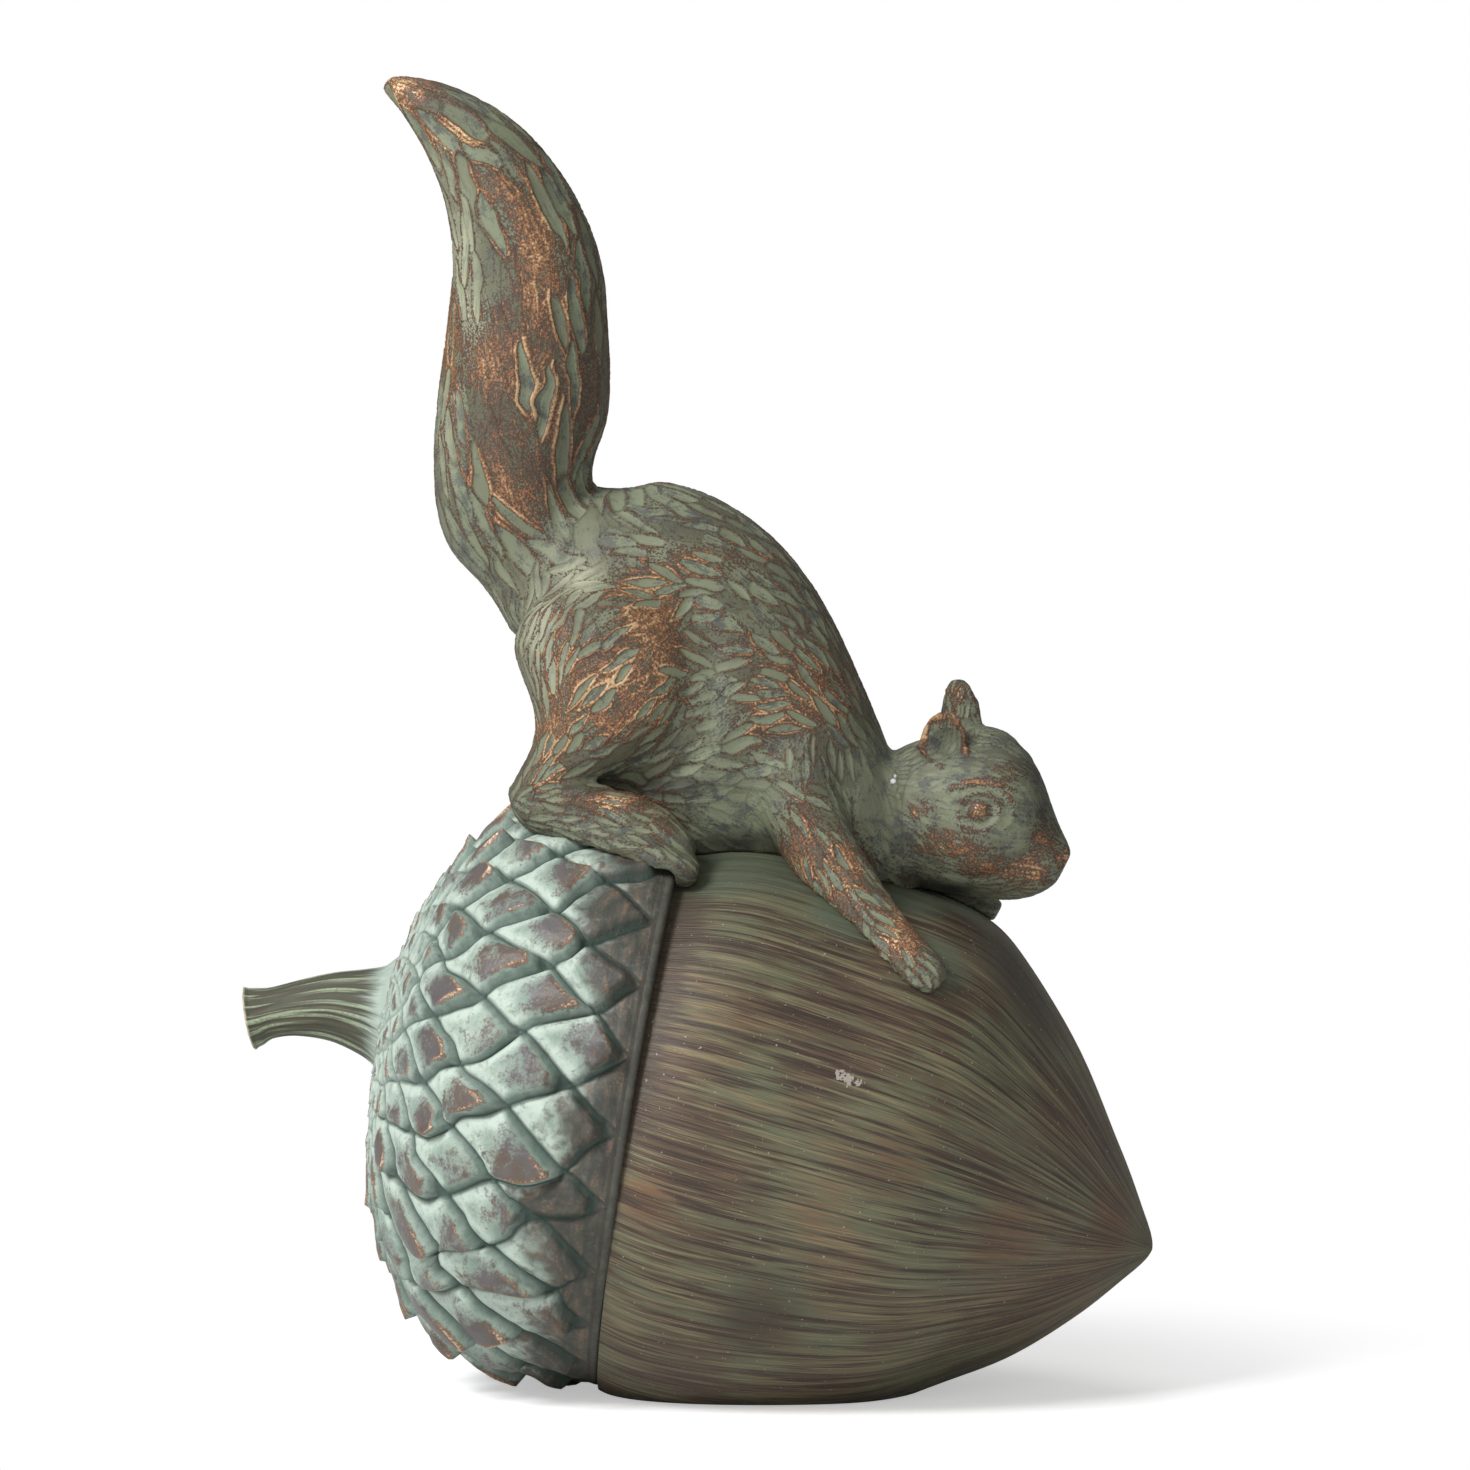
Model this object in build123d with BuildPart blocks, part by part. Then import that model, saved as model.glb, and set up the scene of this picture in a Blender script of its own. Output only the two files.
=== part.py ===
from build123d import *
import math
import os

# A squirrel crouched on a large acorn: a hollow cast-resin garden figurine, 457 mm tall.
# X runs from the stem to the nut's tip, Z is up, the origin is the centre of the felt foot.

# Acorn nut: a hollow shell turned about an axis that dips toward the tip
NUT_LENGTH = 182.0
NUT_RADIUS = 100.3
NUT_WALL = 6.0
NUT_TILT = 15.65
RIM_BACK = 37.7
RIM_COLLAR = 6.0
FOOT_CUT = 2.1
FLOOR_TOP = 12.0
FOOT_HEIGHT = 0.5

# Acorn cap: a cup of raised scales over the nut's spigot
CAP_DEPTH = 94.0
CAP_PROUD = 2.4
CAP_WALL = 9.5
CAP_END_WALL = 8.0
CAP_TILT = 9.0
CAP_POWER = 3.3
CAP_GAP = 0.3
LIP_WIDTH = 4.0
LIP_PROUD = 0.5
SCALE_RISE = 3.5
SCALES_AROUND = 24

# Stem of the cap and the rod that clamps stem, cap and nut together
STEM_LENGTH = 45.0
STEM_OFFSET = 16.6
ROD_RADIUS = 2.5
ROD_GRIP = 24.0
ROD_TAIL = 8.0
ROD_BOSS_RADIUS = 10.0
ROD_BOSS_DEPTH = 5.0
ROD_WASHER_RADIUS = 8.0
ROD_WASHER_THICKNESS = 1.6
ROD_NUT_HEIGHT = 4.0
ROD_NUT_APOTHEM = 4.0

# Foot of the acorn: cover plate, screws, felt and the ballast behind the plate
PLATE_HALF_LENGTH = 42.0
PLATE_HALF_WIDTH = 28.0
PLATE_THICKNESS = 3.0
PLATE_GAP = 0.3
OPENING_HALF_LENGTH = 32.0
OPENING_HALF_WIDTH = 18.5
FELT_HALF_LENGTH = 50.0
FELT_HALF_WIDTH = 34.0
FELT_THICKNESS = 1.5
FELT_GAP = 0.4
BALLAST_HALF_LENGTH = 30.0
BALLAST_HALF_WIDTH = 16.5
BALLAST_HEIGHT = 44.0
SCREW_RADIUS = 1.5
SCREW_HEAD_RADIUS = 2.9
SCREW_HEAD_DEPTH = 1.4
SCREW_LENGTH = 9.0
SCREW_GAP = 0.2
SCREW_RING_LENGTH = 37.0
SCREW_RING_WIDTH = 23.0
BALLAST_SCREW_LENGTH = 16.0
BALLAST_SCREW_SPACING = 30.0

# Studs that hold the squirrel on the acorn
STUD_RADIUS = 3.0
STUD_SPACING = 31.0
STUD_FORWARD = 10.0
STUD_IN_BODY = 42.0
STUD_TAIL = 9.0
STUD_GAP = 0.2
STUD_BOSS_RADIUS = 11.0
STUD_BOSS_DEPTH = 15.0
STUD_WASHER_RADIUS = 9.0
STUD_WASHER_THICKNESS = 1.6
STUD_NUT_HEIGHT = 5.0
STUD_NUT_APOTHEM = 5.0
THREAD_GAP = 0.05

# Squirrel: everything on it follows its reach
SQUIRREL_REACH = 172.9
HEAD_SHARE = 0.3997
TAIL_SHARE = 0.7999
TAIL_DOWEL_RADIUS = 5.0
TAIL_DOWEL_REACH = 22.0
NECK_DOWEL_RADIUS = 4.0
NECK_DOWEL_REACH = 14.0
HIP_DOWEL_RADIUS = 3.0
HIP_DOWEL_LENGTH = 17.0
SHOULDER_DOWEL_RADIUS = 2.5
SHOULDER_DOWEL_LENGTH = 14.0

# Rings of the nut: station along the axis as a share of its length, radius and rise above
# the axis as shares of its radius. Its back swells under the squirrel's forepaws.
RIM_RADIUS_SHARE = 0.948
NUT_SHARES = [
    (-0.070, 0.905, 0.000),
    (0.000, RIM_RADIUS_SHARE, 0.000),
    (0.099, 0.998, 0.000),
    (0.198, 0.998, 0.002),
    (0.297, 0.978, 0.012),
    (0.395, 0.950, 0.032),
    (0.494, 0.908, 0.053),
    (0.558, 0.861, 0.061),
    (0.620, 0.784, 0.059),
    (0.690, 0.681, 0.050),
    (0.780, 0.537, 0.026),
    (0.868, 0.354, 0.004),
    (0.926, 0.220, 0.000),
    (0.965, 0.118, 0.000),
    (0.990, 0.050, 0.000),
]
SADDLE_STATION_SHARE = 0.150
SADDLE_RADIUS_SHARE = 1.000
CAVITY_LENGTH_SHARE = 0.955

# Rows of cap scales, as shares of the cap's depth from the rim to the pole
ROW_SHARES = [0.214, 0.420, 0.605, 0.762, 0.868, 0.918, 0.947, 0.966, 0.978, 0.986]
PEAK_SHARE = 0.45
DOME_SHARES = [0.0, 0.25, 0.45, 0.62, 0.76, 0.86, 0.93, 0.97, 0.99]

# Cross-sections of the squirrel: top x, top z, bottom x, bottom z, centre y, half width,
# each a share of the size named beside the list's use
TORSO_SHARES = [
    (-0.416, 0.722, -0.576, 0.426, 0.0, 0.140),
    (-0.300, 0.730, -0.480, 0.208, 0.0, 0.185),
    (-0.156, 0.694, -0.300, -0.060, 0.0, 0.208),
    (-0.010, 0.574, -0.110, -0.090, 0.0, 0.202),
    (0.084, 0.418, 0.030, -0.110, 0.0, 0.179),
    (0.144, 0.282, 0.130, -0.120, 0.0, 0.150),
    (0.180, 0.190, 0.212, -0.070, 0.0, 0.116),
]
HEAD_SHARES = [
    (0.135, 0.405, 0.135, -0.345, 0.043, 0.318),
    (0.400, 0.425, 0.220, -0.355, 0.087, 0.340),
    (0.620, 0.355, 0.350, -0.375, 0.130, 0.326),
    (0.740, 0.165, 0.510, -0.390, 0.174, 0.239),
    (0.820, -0.045, 0.670, -0.370, 0.210, 0.159),
    (0.865, -0.155, 0.790, -0.300, 0.232, 0.087),
]
NEAR_EAR_SHARES = [
    (0.140, 0.220, 0.340, 0.220, 0.188, 0.090),
    (0.115, 0.345, 0.350, 0.335, 0.217, 0.070),
    (0.130, 0.455, 0.340, 0.445, 0.239, 0.052),
    (0.190, 0.530, 0.280, 0.525, 0.253, 0.028),
]
FAR_EAR_SHARES = [
    (0.200, 0.220, 0.420, 0.220, -0.100, 0.090),
    (0.195, 0.400, 0.420, 0.395, -0.130, 0.070),
    (0.210, 0.560, 0.405, 0.555, -0.150, 0.052),
    (0.255, 0.700, 0.330, 0.700, -0.174, 0.026),
]
TAIL_SHARES = [
    (-0.003, 0.033, -0.350, -0.160, 0.0, 0.167),
    (0.028, 0.145, -0.395, 0.065, 0.0, 0.181),
    (0.043, 0.270, -0.380, 0.265, 0.0, 0.181),
    (0.038, 0.408, -0.360, 0.415, 0.0, 0.174),
    (0.025, 0.540, -0.348, 0.550, 0.0, 0.163),
    (-0.020, 0.680, -0.355, 0.655, 0.0, 0.152),
    (-0.100, 0.813, -0.375, 0.740, 0.0, 0.137),
    (-0.210, 0.923, -0.413, 0.830, 0.0, 0.116),
    (-0.325, 0.988, -0.458, 0.910, 0.0, 0.087),
    (-0.418, 1.018, -0.498, 0.963, 0.0, 0.054),
    (-0.500, 1.025, -0.528, 1.000, 0.0, 0.022),
]
THIGH_SHARES = [
    (-0.450, 0.544, -0.350, 0.544, 0.150, 0.035),
    (-0.504, 0.506, -0.266, 0.506, 0.150, 0.082),
    (-0.556, 0.438, -0.212, 0.438, 0.150, 0.112),
    (-0.550, 0.368, -0.192, 0.368, 0.150, 0.122),
    (-0.524, 0.298, -0.200, 0.298, 0.152, 0.120),
    (-0.518, 0.238, -0.236, 0.238, 0.158, 0.104),
    (-0.534, 0.188, -0.300, 0.188, 0.164, 0.084),
    (-0.556, 0.148, -0.390, 0.148, 0.170, 0.066),
    (-0.562, 0.100, -0.480, 0.100, 0.170, 0.048),
]
HIND_FOOT_SHARES = [
    (-0.572, 0.126, -0.560, 0.086, 0.168, 0.029),
    (-0.540, 0.142, -0.540, 0.054, 0.174, 0.052),
    (-0.450, 0.118, -0.460, 0.014, 0.197, 0.061),
    (-0.360, 0.082, -0.376, -0.020, 0.226, 0.064),
    (-0.280, 0.046, -0.296, -0.044, 0.249, 0.064),
    (-0.216, 0.012, -0.228, -0.060, 0.260, 0.058),
    (-0.184, -0.014, -0.192, -0.050, 0.266, 0.029),
]
NEAR_FORELEG_SHARES = [
    (0.044, 0.298, -0.056, 0.266, 0.116, 0.046),
    (0.076, 0.228, -0.080, 0.208, 0.133, 0.070),
    (0.080, 0.148, -0.084, 0.118, 0.156, 0.072),
    (0.096, 0.082, -0.044, 0.022, 0.181, 0.066),
    (0.136, 0.002, 0.024, -0.070, 0.218, 0.061),
    (0.192, -0.082, 0.096, -0.150, 0.268, 0.055),
    (0.250, -0.152, 0.170, -0.222, 0.324, 0.055),
    (0.290, -0.192, 0.220, -0.254, 0.354, 0.049),
    (0.300, -0.226, 0.268, -0.262, 0.372, 0.029),
]
FAR_FORELEG_SHARES = [
    (0.044, 0.298, -0.056, 0.266, 0.116, 0.046),
    (0.090, 0.228, -0.070, 0.202, 0.133, 0.070),
    (0.132, 0.138, -0.024, 0.098, 0.145, 0.070),
    (0.180, 0.058, 0.060, -0.006, 0.139, 0.064),
    (0.250, -0.006, 0.170, -0.082, 0.121, 0.058),
    (0.324, -0.058, 0.260, -0.134, 0.104, 0.055),
    (0.376, -0.092, 0.330, -0.158, 0.087, 0.052),
    (0.406, -0.112, 0.384, -0.152, 0.075, 0.029),
]
STEM_SHARES = [
    (0.160, 0.430, 0.160, -0.430, 0.0, 0.410),
    (-0.030, 0.360, -0.046, -0.360, 0.0, 0.340),
    (-0.185, 0.300, -0.200, -0.270, 0.0, 0.270),
    (-0.415, 0.270, -0.430, -0.240, 0.0, 0.240),
    (-0.660, 0.230, -0.660, -0.230, 0.0, 0.220),
    (-0.877, 0.185, -0.846, -0.240, 0.0, 0.215),
    (-1.015, 0.130, -0.970, -0.240, 0.0, 0.200),
]
HIP_X_SHARE = -0.380
HIP_Z_SHARE = 0.358
HIP_Y_SHARE = 0.105
SHOULDER_X_SHARE = 0.000
SHOULDER_Z_SHARE = 0.198
SHOULDER_Y_SHARE = 0.095

# The cap follows the nut's rim, the acorn stands as high as its flat foot leaves it, and the
# squirrel's head and tail grow with its reach
cap_radius = NUT_RADIUS * RIM_RADIUS_SHARE + CAP_PROUD
lip_radius = cap_radius + LIP_PROUD
spigot_radius = cap_radius - CAP_WALL
spigot_depth = CAP_DEPTH - CAP_END_WALL
rim_height = NUT_RADIUS - FOOT_CUT
head_length = SQUIRREL_REACH * HEAD_SHARE
tail_height = SQUIRREL_REACH * TAIL_SHARE

nut_turn = math.radians(NUT_TILT)
cap_turn = math.radians(CAP_TILT)
rim_centre = Vector(-RIM_BACK, 0, rim_height)
nut_along = Vector(math.cos(nut_turn), 0, -math.sin(nut_turn))
nut_above = Vector(math.sin(nut_turn), 0, math.cos(nut_turn))
cap_out = Vector(-math.cos(cap_turn), 0, math.sin(cap_turn))
cap_above = Vector(math.sin(cap_turn), 0, math.cos(cap_turn))
cap_plane = Plane(origin=rim_centre, x_dir=cap_out, z_dir=(0, 1, 0))
cap_axis = Axis(origin=rim_centre, direction=cap_out)
rim_plane = Plane(origin=rim_centre, z_dir=-cap_out)
foot_plane = Plane.XY.offset(FOOT_HEIGHT)

felt_top = FELT_THICKNESS
plate_top = FELT_THICKNESS + PLATE_THICKNESS
saddle = (
    rim_centre
    + nut_along * (NUT_LENGTH * SADDLE_STATION_SHARE)
    + nut_above * (NUT_RADIUS * SADDLE_RADIUS_SHARE)
)


def dome_radius(station, depth, radius):
    """Radius of the cap's rounded profile at a distance from the rim."""
    return radius * math.sqrt(max(0, 1 - (station / depth) ** CAP_POWER))


def dome_station(reach, depth, radius):
    """Distance from the rim at which the profile has this radius."""
    return depth * max(0, 1 - (reach / radius) ** 2) ** (1 / CAP_POWER)


def dome_solid(depth, radius):
    """Turn the cap's profile about the cap's axis, closed by the rim plane."""
    points = [
        (depth * share, dome_radius(depth * share, depth, radius)) for share in DOME_SHARES
    ]
    with BuildPart() as dome:
        with BuildSketch(cap_plane):
            with BuildLine():
                curve = Spline(*points, (depth, 0), tangents=[(1, 0), (0, -1)])
                Polyline(curve @ 1, (0, 0), curve @ 0)
            make_face()
        revolve(axis=cap_axis)
    return dome.part


def nut_solid(length, radius):
    """Loft the nut through round rings, whose middles rise where its back swells."""
    tip = rim_centre + nut_along * length
    with BuildPart() as body:
        for station, reach, rise in NUT_SHARES:
            middle = rim_centre + nut_along * (length * station) + nut_above * (radius * rise)
            with BuildSketch(Plane(origin=middle, x_dir=nut_above, z_dir=nut_along)):
                Circle(radius * reach)
        loft(sections=[*body.pending_faces, Vertex(tip.X, tip.Y, tip.Z)])
    return body.part


def cap_point(station_share, azimuth, rise):
    """Point on the cap's scale surface, its rows gathered round the stem."""
    lip_reach = dome_radius(LIP_WIDTH, CAP_DEPTH, cap_radius)
    reach = dome_radius(CAP_DEPTH * station_share, CAP_DEPTH, cap_radius)
    up = reach * math.cos(azimuth) + STEM_OFFSET * max(0, 1 - (reach / lip_reach) ** 2)
    across = reach * math.sin(azimuth)
    station = dome_station(math.hypot(up, across), CAP_DEPTH, cap_radius)
    wide = 1 + rise / cap_radius
    deep = 1 + rise / CAP_DEPTH
    return (
        rim_centre
        + cap_out * (station * deep)
        + cap_above * (up * wide)
        + Vector(0, across * wide, 0)
    )


def scaled_cup():
    """Closed body of the cap's scales, one low pyramid on each diamond of the lattice."""
    stations = [LIP_WIDTH / CAP_DEPTH, *ROW_SHARES]
    step = 2 * math.pi / SCALES_AROUND
    rings = []
    for row, share in enumerate(stations):
        turn = step / 2 * (row % 2)
        rings.append([cap_point(share, turn + step * k, 0) for k in range(SCALES_AROUND)])
    base = rim_centre + cap_out * LIP_WIDTH
    pole = cap_point(1, 0, 0)
    corners = []
    for k in range(SCALES_AROUND):
        after = (k + 1) % SCALES_AROUND
        corners.append((rings[0][after], rings[0][k], base))
        corners.append((rings[-1][k], rings[-1][after], pole))
        corners.append((rings[0][k], rings[0][after], rings[1][k]))
        odd = (len(stations) - 2) % 2
        inner = rings[-2][(k + 1 - odd) % SCALES_AROUND]
        corners.append((rings[-1][after], rings[-1][k], inner))
    for row in range(1, len(stations) - 1):
        odd = row % 2
        share = stations[row] - PEAK_SHARE * (stations[row] - stations[row - 1])
        reach = dome_radius(CAP_DEPTH * share, CAP_DEPTH, cap_radius)
        for k in range(SCALES_AROUND):
            after = (k + 1) % SCALES_AROUND
            tip = (k + odd) % SCALES_AROUND
            azimuth = step * (k + 0.5 + odd / 2)
            peak = cap_point(share, azimuth, SCALE_RISE * math.sqrt(reach / cap_radius))
            left, right = rings[row][k], rings[row][after]
            low, high = rings[row - 1][tip], rings[row + 1][tip]
            corners.append((low, right, peak))
            corners.append((right, high, peak))
            corners.append((high, left, peak))
            corners.append((left, low, peak))
    faces = [Face(Wire.make_polygon(list(triple))) for triple in corners]
    return Solid(Shell(faces))


def place_rows(anchor, size, rows, side=-1):
    """Turn rows of shares into top point, bottom point and half width."""
    placed = []
    for top_x, top_z, bottom_x, bottom_z, middle_y, half in rows:
        middle = side * middle_y * size
        top = anchor + Vector(top_x * size, middle, top_z * size)
        bottom = anchor + Vector(bottom_x * size, middle, bottom_z * size)
        placed.append((top, bottom, half * size))
    return placed


def section_plane(row):
    """Plane of one cross-section, its x along the section's height."""
    top, bottom, half = row
    height = top - bottom
    return Plane(
        origin=(top + bottom) / 2,
        x_dir=height,
        z_dir=height.cross(Vector(0, 1, 0)),
    )


def loft_rows(placed):
    """Loft one cast piece through ellipses drawn across it."""
    with BuildPart() as piece:
        for row in placed:
            top, bottom, half = row
            with BuildSketch(section_plane(row)):
                Ellipse((top - bottom).length / 2, half)
        loft()
    return piece.part


def round_bar(plane, start, end, radius):
    """Round bar along a plane's normal between two distances from its origin."""
    with BuildPart() as bar:
        with BuildSketch(plane.offset(start)):
            Circle(radius)
        extrude(amount=end - start)
    return bar.part


def hex_nut(plane, start, height, apothem, bore):
    """Hexagon nut standing on a plane's normal."""
    with BuildPart() as nut:
        with BuildSketch(plane.offset(start)):
            RegularPolygon(radius=apothem, side_count=6, major_radius=False)
            Circle(bore, mode=Mode.SUBTRACT)
        extrude(amount=height)
    return nut.part


def screw_set(spots, length, gap):
    """Countersunk screws driven up from the underside of the base plate."""
    with BuildPart() as screws:
        with BuildSketch(Plane.XY.offset(felt_top)):
            with Locations(*spots):
                Circle(SCREW_RADIUS + gap)
        extrude(amount=length)
        with Locations(*[(x, y, felt_top) for x, y in spots]):
            Cone(
                SCREW_HEAD_RADIUS,
                SCREW_RADIUS,
                SCREW_HEAD_DEPTH,
                align=(Align.CENTER, Align.CENTER, Align.MIN),
            )
    return screws.part


torso_rows = place_rows(saddle, SQUIRREL_REACH, TORSO_SHARES)
tail_rows = [torso_rows[0], *place_rows(torso_rows[0][0], tail_height, TAIL_SHARES)]
neck_centre = (torso_rows[-1][0] + torso_rows[-1][1]) / 2
head_rows = [torso_rows[-1], *place_rows(neck_centre, head_length, HEAD_SHARES)]
stem_seat = rim_centre + cap_out * CAP_DEPTH + cap_above * STEM_OFFSET

# Planes of the joints
tail_joint = section_plane(torso_rows[0])
neck_joint = section_plane(torso_rows[-1])
rod_plane = Plane(
    origin=rim_centre + cap_above * STEM_OFFSET,
    x_dir=(0, 1, 0),
    z_dir=cap_out,
)
rod_wall = dome_station(STEM_OFFSET, spigot_depth - NUT_WALL, spigot_radius - NUT_WALL)
rod_seat = rod_wall - ROD_BOSS_DEPTH
rod_start = rod_seat - ROD_WASHER_THICKNESS - ROD_NUT_HEIGHT - ROD_TAIL / 2
rod_end = CAP_DEPTH + ROD_GRIP
stud_seat = saddle.Z - STUD_BOSS_DEPTH
stud_start = stud_seat - STUD_WASHER_THICKNESS - STUD_NUT_HEIGHT - STUD_TAIL / 2
stud_end = saddle.Z + STUD_IN_BODY
stud_centres = [STUD_FORWARD - STUD_SPACING / 2, STUD_FORWARD + STUD_SPACING / 2]
stud_planes = [Plane(origin=(x, 0, 0)) for x in stud_centres]
hip_height = saddle + Vector(
    SQUIRREL_REACH * HIP_X_SHARE, 0, SQUIRREL_REACH * HIP_Z_SHARE
)
shoulder_height = saddle + Vector(
    SQUIRREL_REACH * SHOULDER_X_SHARE, 0, SQUIRREL_REACH * SHOULDER_Z_SHARE
)
hip_start = SQUIRREL_REACH * HIP_Y_SHARE
shoulder_start = SQUIRREL_REACH * SHOULDER_Y_SHARE
hip_planes = [Plane(origin=hip_height, z_dir=(0, side, 0)) for side in (-1, 1)]
shoulder_planes = [Plane(origin=shoulder_height, z_dir=(0, side, 0)) for side in (-1, 1)]

# Outer body of the acorn with the scales' tops, cut away from everything that stands on it
with BuildPart() as nut_outer:
    add(nut_solid(NUT_LENGTH, NUT_RADIUS))
    split(bisect_by=rim_plane, keep=Keep.TOP)

with BuildPart() as acorn_envelope:
    add(nut_outer.part)
    add(dome_solid(CAP_DEPTH + SCALE_RISE, cap_radius + SCALE_RISE))

# Nut shell: cavity first, with bosses left standing for the clamp rod and the studs
with BuildPart() as nut_cavity:
    add(nut_solid(NUT_LENGTH * CAVITY_LENGTH_SHARE, NUT_RADIUS - NUT_WALL))
    split(bisect_by=rim_plane.offset(RIM_COLLAR), keep=Keep.TOP)
    with BuildSketch(rim_plane):
        Circle(spigot_radius - NUT_WALL)
    extrude(amount=RIM_COLLAR + CAP_GAP)
    add(dome_solid(spigot_depth - NUT_WALL, spigot_radius - NUT_WALL))
    split(bisect_by=Plane.XY.offset(FLOOR_TOP), keep=Keep.TOP)
    add(round_bar(rod_plane, rod_seat, CAP_DEPTH, ROD_BOSS_RADIUS), mode=Mode.SUBTRACT)
    for plane in stud_planes:
        add(round_bar(plane, stud_seat, saddle.Z, STUD_BOSS_RADIUS), mode=Mode.SUBTRACT)

screw_turn = math.radians(45)
screw_x = SCREW_RING_LENGTH * math.cos(screw_turn)
screw_y = SCREW_RING_WIDTH * math.sin(screw_turn)
screw_spots = [(screw_x, screw_y), (-screw_x, screw_y), (-screw_x, -screw_y), (screw_x, -screw_y)]
ballast_spots = [(-BALLAST_SCREW_SPACING / 2, 0), (BALLAST_SCREW_SPACING / 2, 0)]

with BuildPart() as nut_shell:
    add(nut_outer.part)
    add(dome_solid(spigot_depth, spigot_radius))
    add(nut_cavity.part, mode=Mode.SUBTRACT)
    split(bisect_by=foot_plane, keep=Keep.TOP)
    with BuildSketch(foot_plane):
        Ellipse(FELT_HALF_LENGTH + FELT_GAP, FELT_HALF_WIDTH + FELT_GAP)
    extrude(amount=FELT_THICKNESS - FOOT_HEIGHT, mode=Mode.SUBTRACT)
    with BuildSketch(Plane.XY.offset(felt_top)):
        Ellipse(PLATE_HALF_LENGTH + PLATE_GAP, PLATE_HALF_WIDTH + PLATE_GAP)
    extrude(amount=PLATE_THICKNESS, mode=Mode.SUBTRACT)
    with BuildSketch(Plane.XY.offset(plate_top)):
        Ellipse(OPENING_HALF_LENGTH, OPENING_HALF_WIDTH)
    extrude(amount=FLOOR_TOP - plate_top, mode=Mode.SUBTRACT)
    with BuildSketch(Plane.XY.offset(plate_top)):
        with Locations(*screw_spots):
            Circle(SCREW_RADIUS)
    extrude(amount=SCREW_LENGTH - PLATE_THICKNESS, mode=Mode.SUBTRACT)
    add(round_bar(rod_plane, 0, CAP_DEPTH, ROD_RADIUS + STUD_GAP), mode=Mode.SUBTRACT)
    for plane in stud_planes:
        add(
            round_bar(plane, rim_height, saddle.Z + STUD_IN_BODY, STUD_RADIUS + STUD_GAP),
            mode=Mode.SUBTRACT,
        )

# Cap shell
cup = scaled_cup()
with BuildPart() as cap_body:
    add(cup)
    with BuildSketch(rim_plane):
        Circle(lip_radius)
    extrude(amount=-LIP_WIDTH)

with BuildPart() as cap_shell:
    add(cap_body.part)
    add(dome_solid(spigot_depth + CAP_GAP, spigot_radius + CAP_GAP), mode=Mode.SUBTRACT)
    split(bisect_by=foot_plane, keep=Keep.TOP)
    add(round_bar(rod_plane, 0, rod_end, ROD_RADIUS + STUD_GAP), mode=Mode.SUBTRACT)

# Stem with its clamp rod
with BuildPart() as stem:
    add(loft_rows(place_rows(stem_seat, STEM_LENGTH, STEM_SHARES)))
    add(cup, mode=Mode.SUBTRACT)
    add(round_bar(rod_plane, 0, rod_end, ROD_RADIUS), mode=Mode.SUBTRACT)

with BuildPart() as stem_rod:
    add(round_bar(rod_plane, rod_start, rod_end, ROD_RADIUS))

with BuildPart() as rod_washer:
    with BuildSketch(rod_plane.offset(rod_seat)):
        Circle(ROD_WASHER_RADIUS)
        Circle(ROD_RADIUS + THREAD_GAP, mode=Mode.SUBTRACT)
    extrude(amount=-ROD_WASHER_THICKNESS)

with BuildPart() as rod_nut:
    add(
        hex_nut(
            rod_plane,
            rod_seat - ROD_WASHER_THICKNESS - ROD_NUT_HEIGHT,
            ROD_NUT_HEIGHT,
            ROD_NUT_APOTHEM,
            ROD_RADIUS,
        )
    )

# Foot of the acorn
with BuildPart() as base_plate:
    with BuildSketch(Plane.XY.offset(felt_top)):
        Ellipse(PLATE_HALF_LENGTH, PLATE_HALF_WIDTH)
    extrude(amount=PLATE_THICKNESS)
    add(screw_set([*screw_spots, *ballast_spots], PLATE_THICKNESS, SCREW_GAP), mode=Mode.SUBTRACT)

with BuildPart() as base_screws:
    add(screw_set(screw_spots, SCREW_LENGTH, 0))

with BuildPart() as base_felt:
    with BuildSketch():
        Ellipse(FELT_HALF_LENGTH, FELT_HALF_WIDTH)
    extrude(amount=FELT_THICKNESS)

with BuildPart() as ballast_block:
    with BuildSketch(Plane.XY.offset(plate_top)):
        Ellipse(BALLAST_HALF_LENGTH, BALLAST_HALF_WIDTH)
    extrude(amount=BALLAST_HEIGHT)
    with BuildSketch(Plane.XY.offset(plate_top)):
        with Locations(*ballast_spots):
            Circle(SCREW_RADIUS)
    extrude(amount=BALLAST_SCREW_LENGTH - PLATE_THICKNESS, mode=Mode.SUBTRACT)

with BuildPart() as ballast_screws:
    add(screw_set(ballast_spots, BALLAST_SCREW_LENGTH, 0))

# Studs through the top of the nut into the squirrel
with BuildPart() as mounting_studs:
    for plane in stud_planes:
        add(round_bar(plane, stud_start, stud_end, STUD_RADIUS))

with BuildPart() as stud_washers:
    for plane in stud_planes:
        with BuildSketch(plane.offset(stud_seat)):
            Circle(STUD_WASHER_RADIUS)
            Circle(STUD_RADIUS + THREAD_GAP, mode=Mode.SUBTRACT)
        extrude(amount=-STUD_WASHER_THICKNESS)

with BuildPart() as stud_nuts:
    for plane in stud_planes:
        add(
            hex_nut(
                plane,
                stud_seat - STUD_WASHER_THICKNESS - STUD_NUT_HEIGHT,
                STUD_NUT_HEIGHT,
                STUD_NUT_APOTHEM,
                STUD_RADIUS,
            )
        )

# Dowels glued across the joints of the squirrel
with BuildPart() as tail_dowel:
    add(round_bar(tail_joint, -TAIL_DOWEL_REACH, TAIL_DOWEL_REACH, TAIL_DOWEL_RADIUS))

with BuildPart() as neck_dowel:
    add(round_bar(neck_joint, -NECK_DOWEL_REACH, NECK_DOWEL_REACH, NECK_DOWEL_RADIUS))

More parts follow.
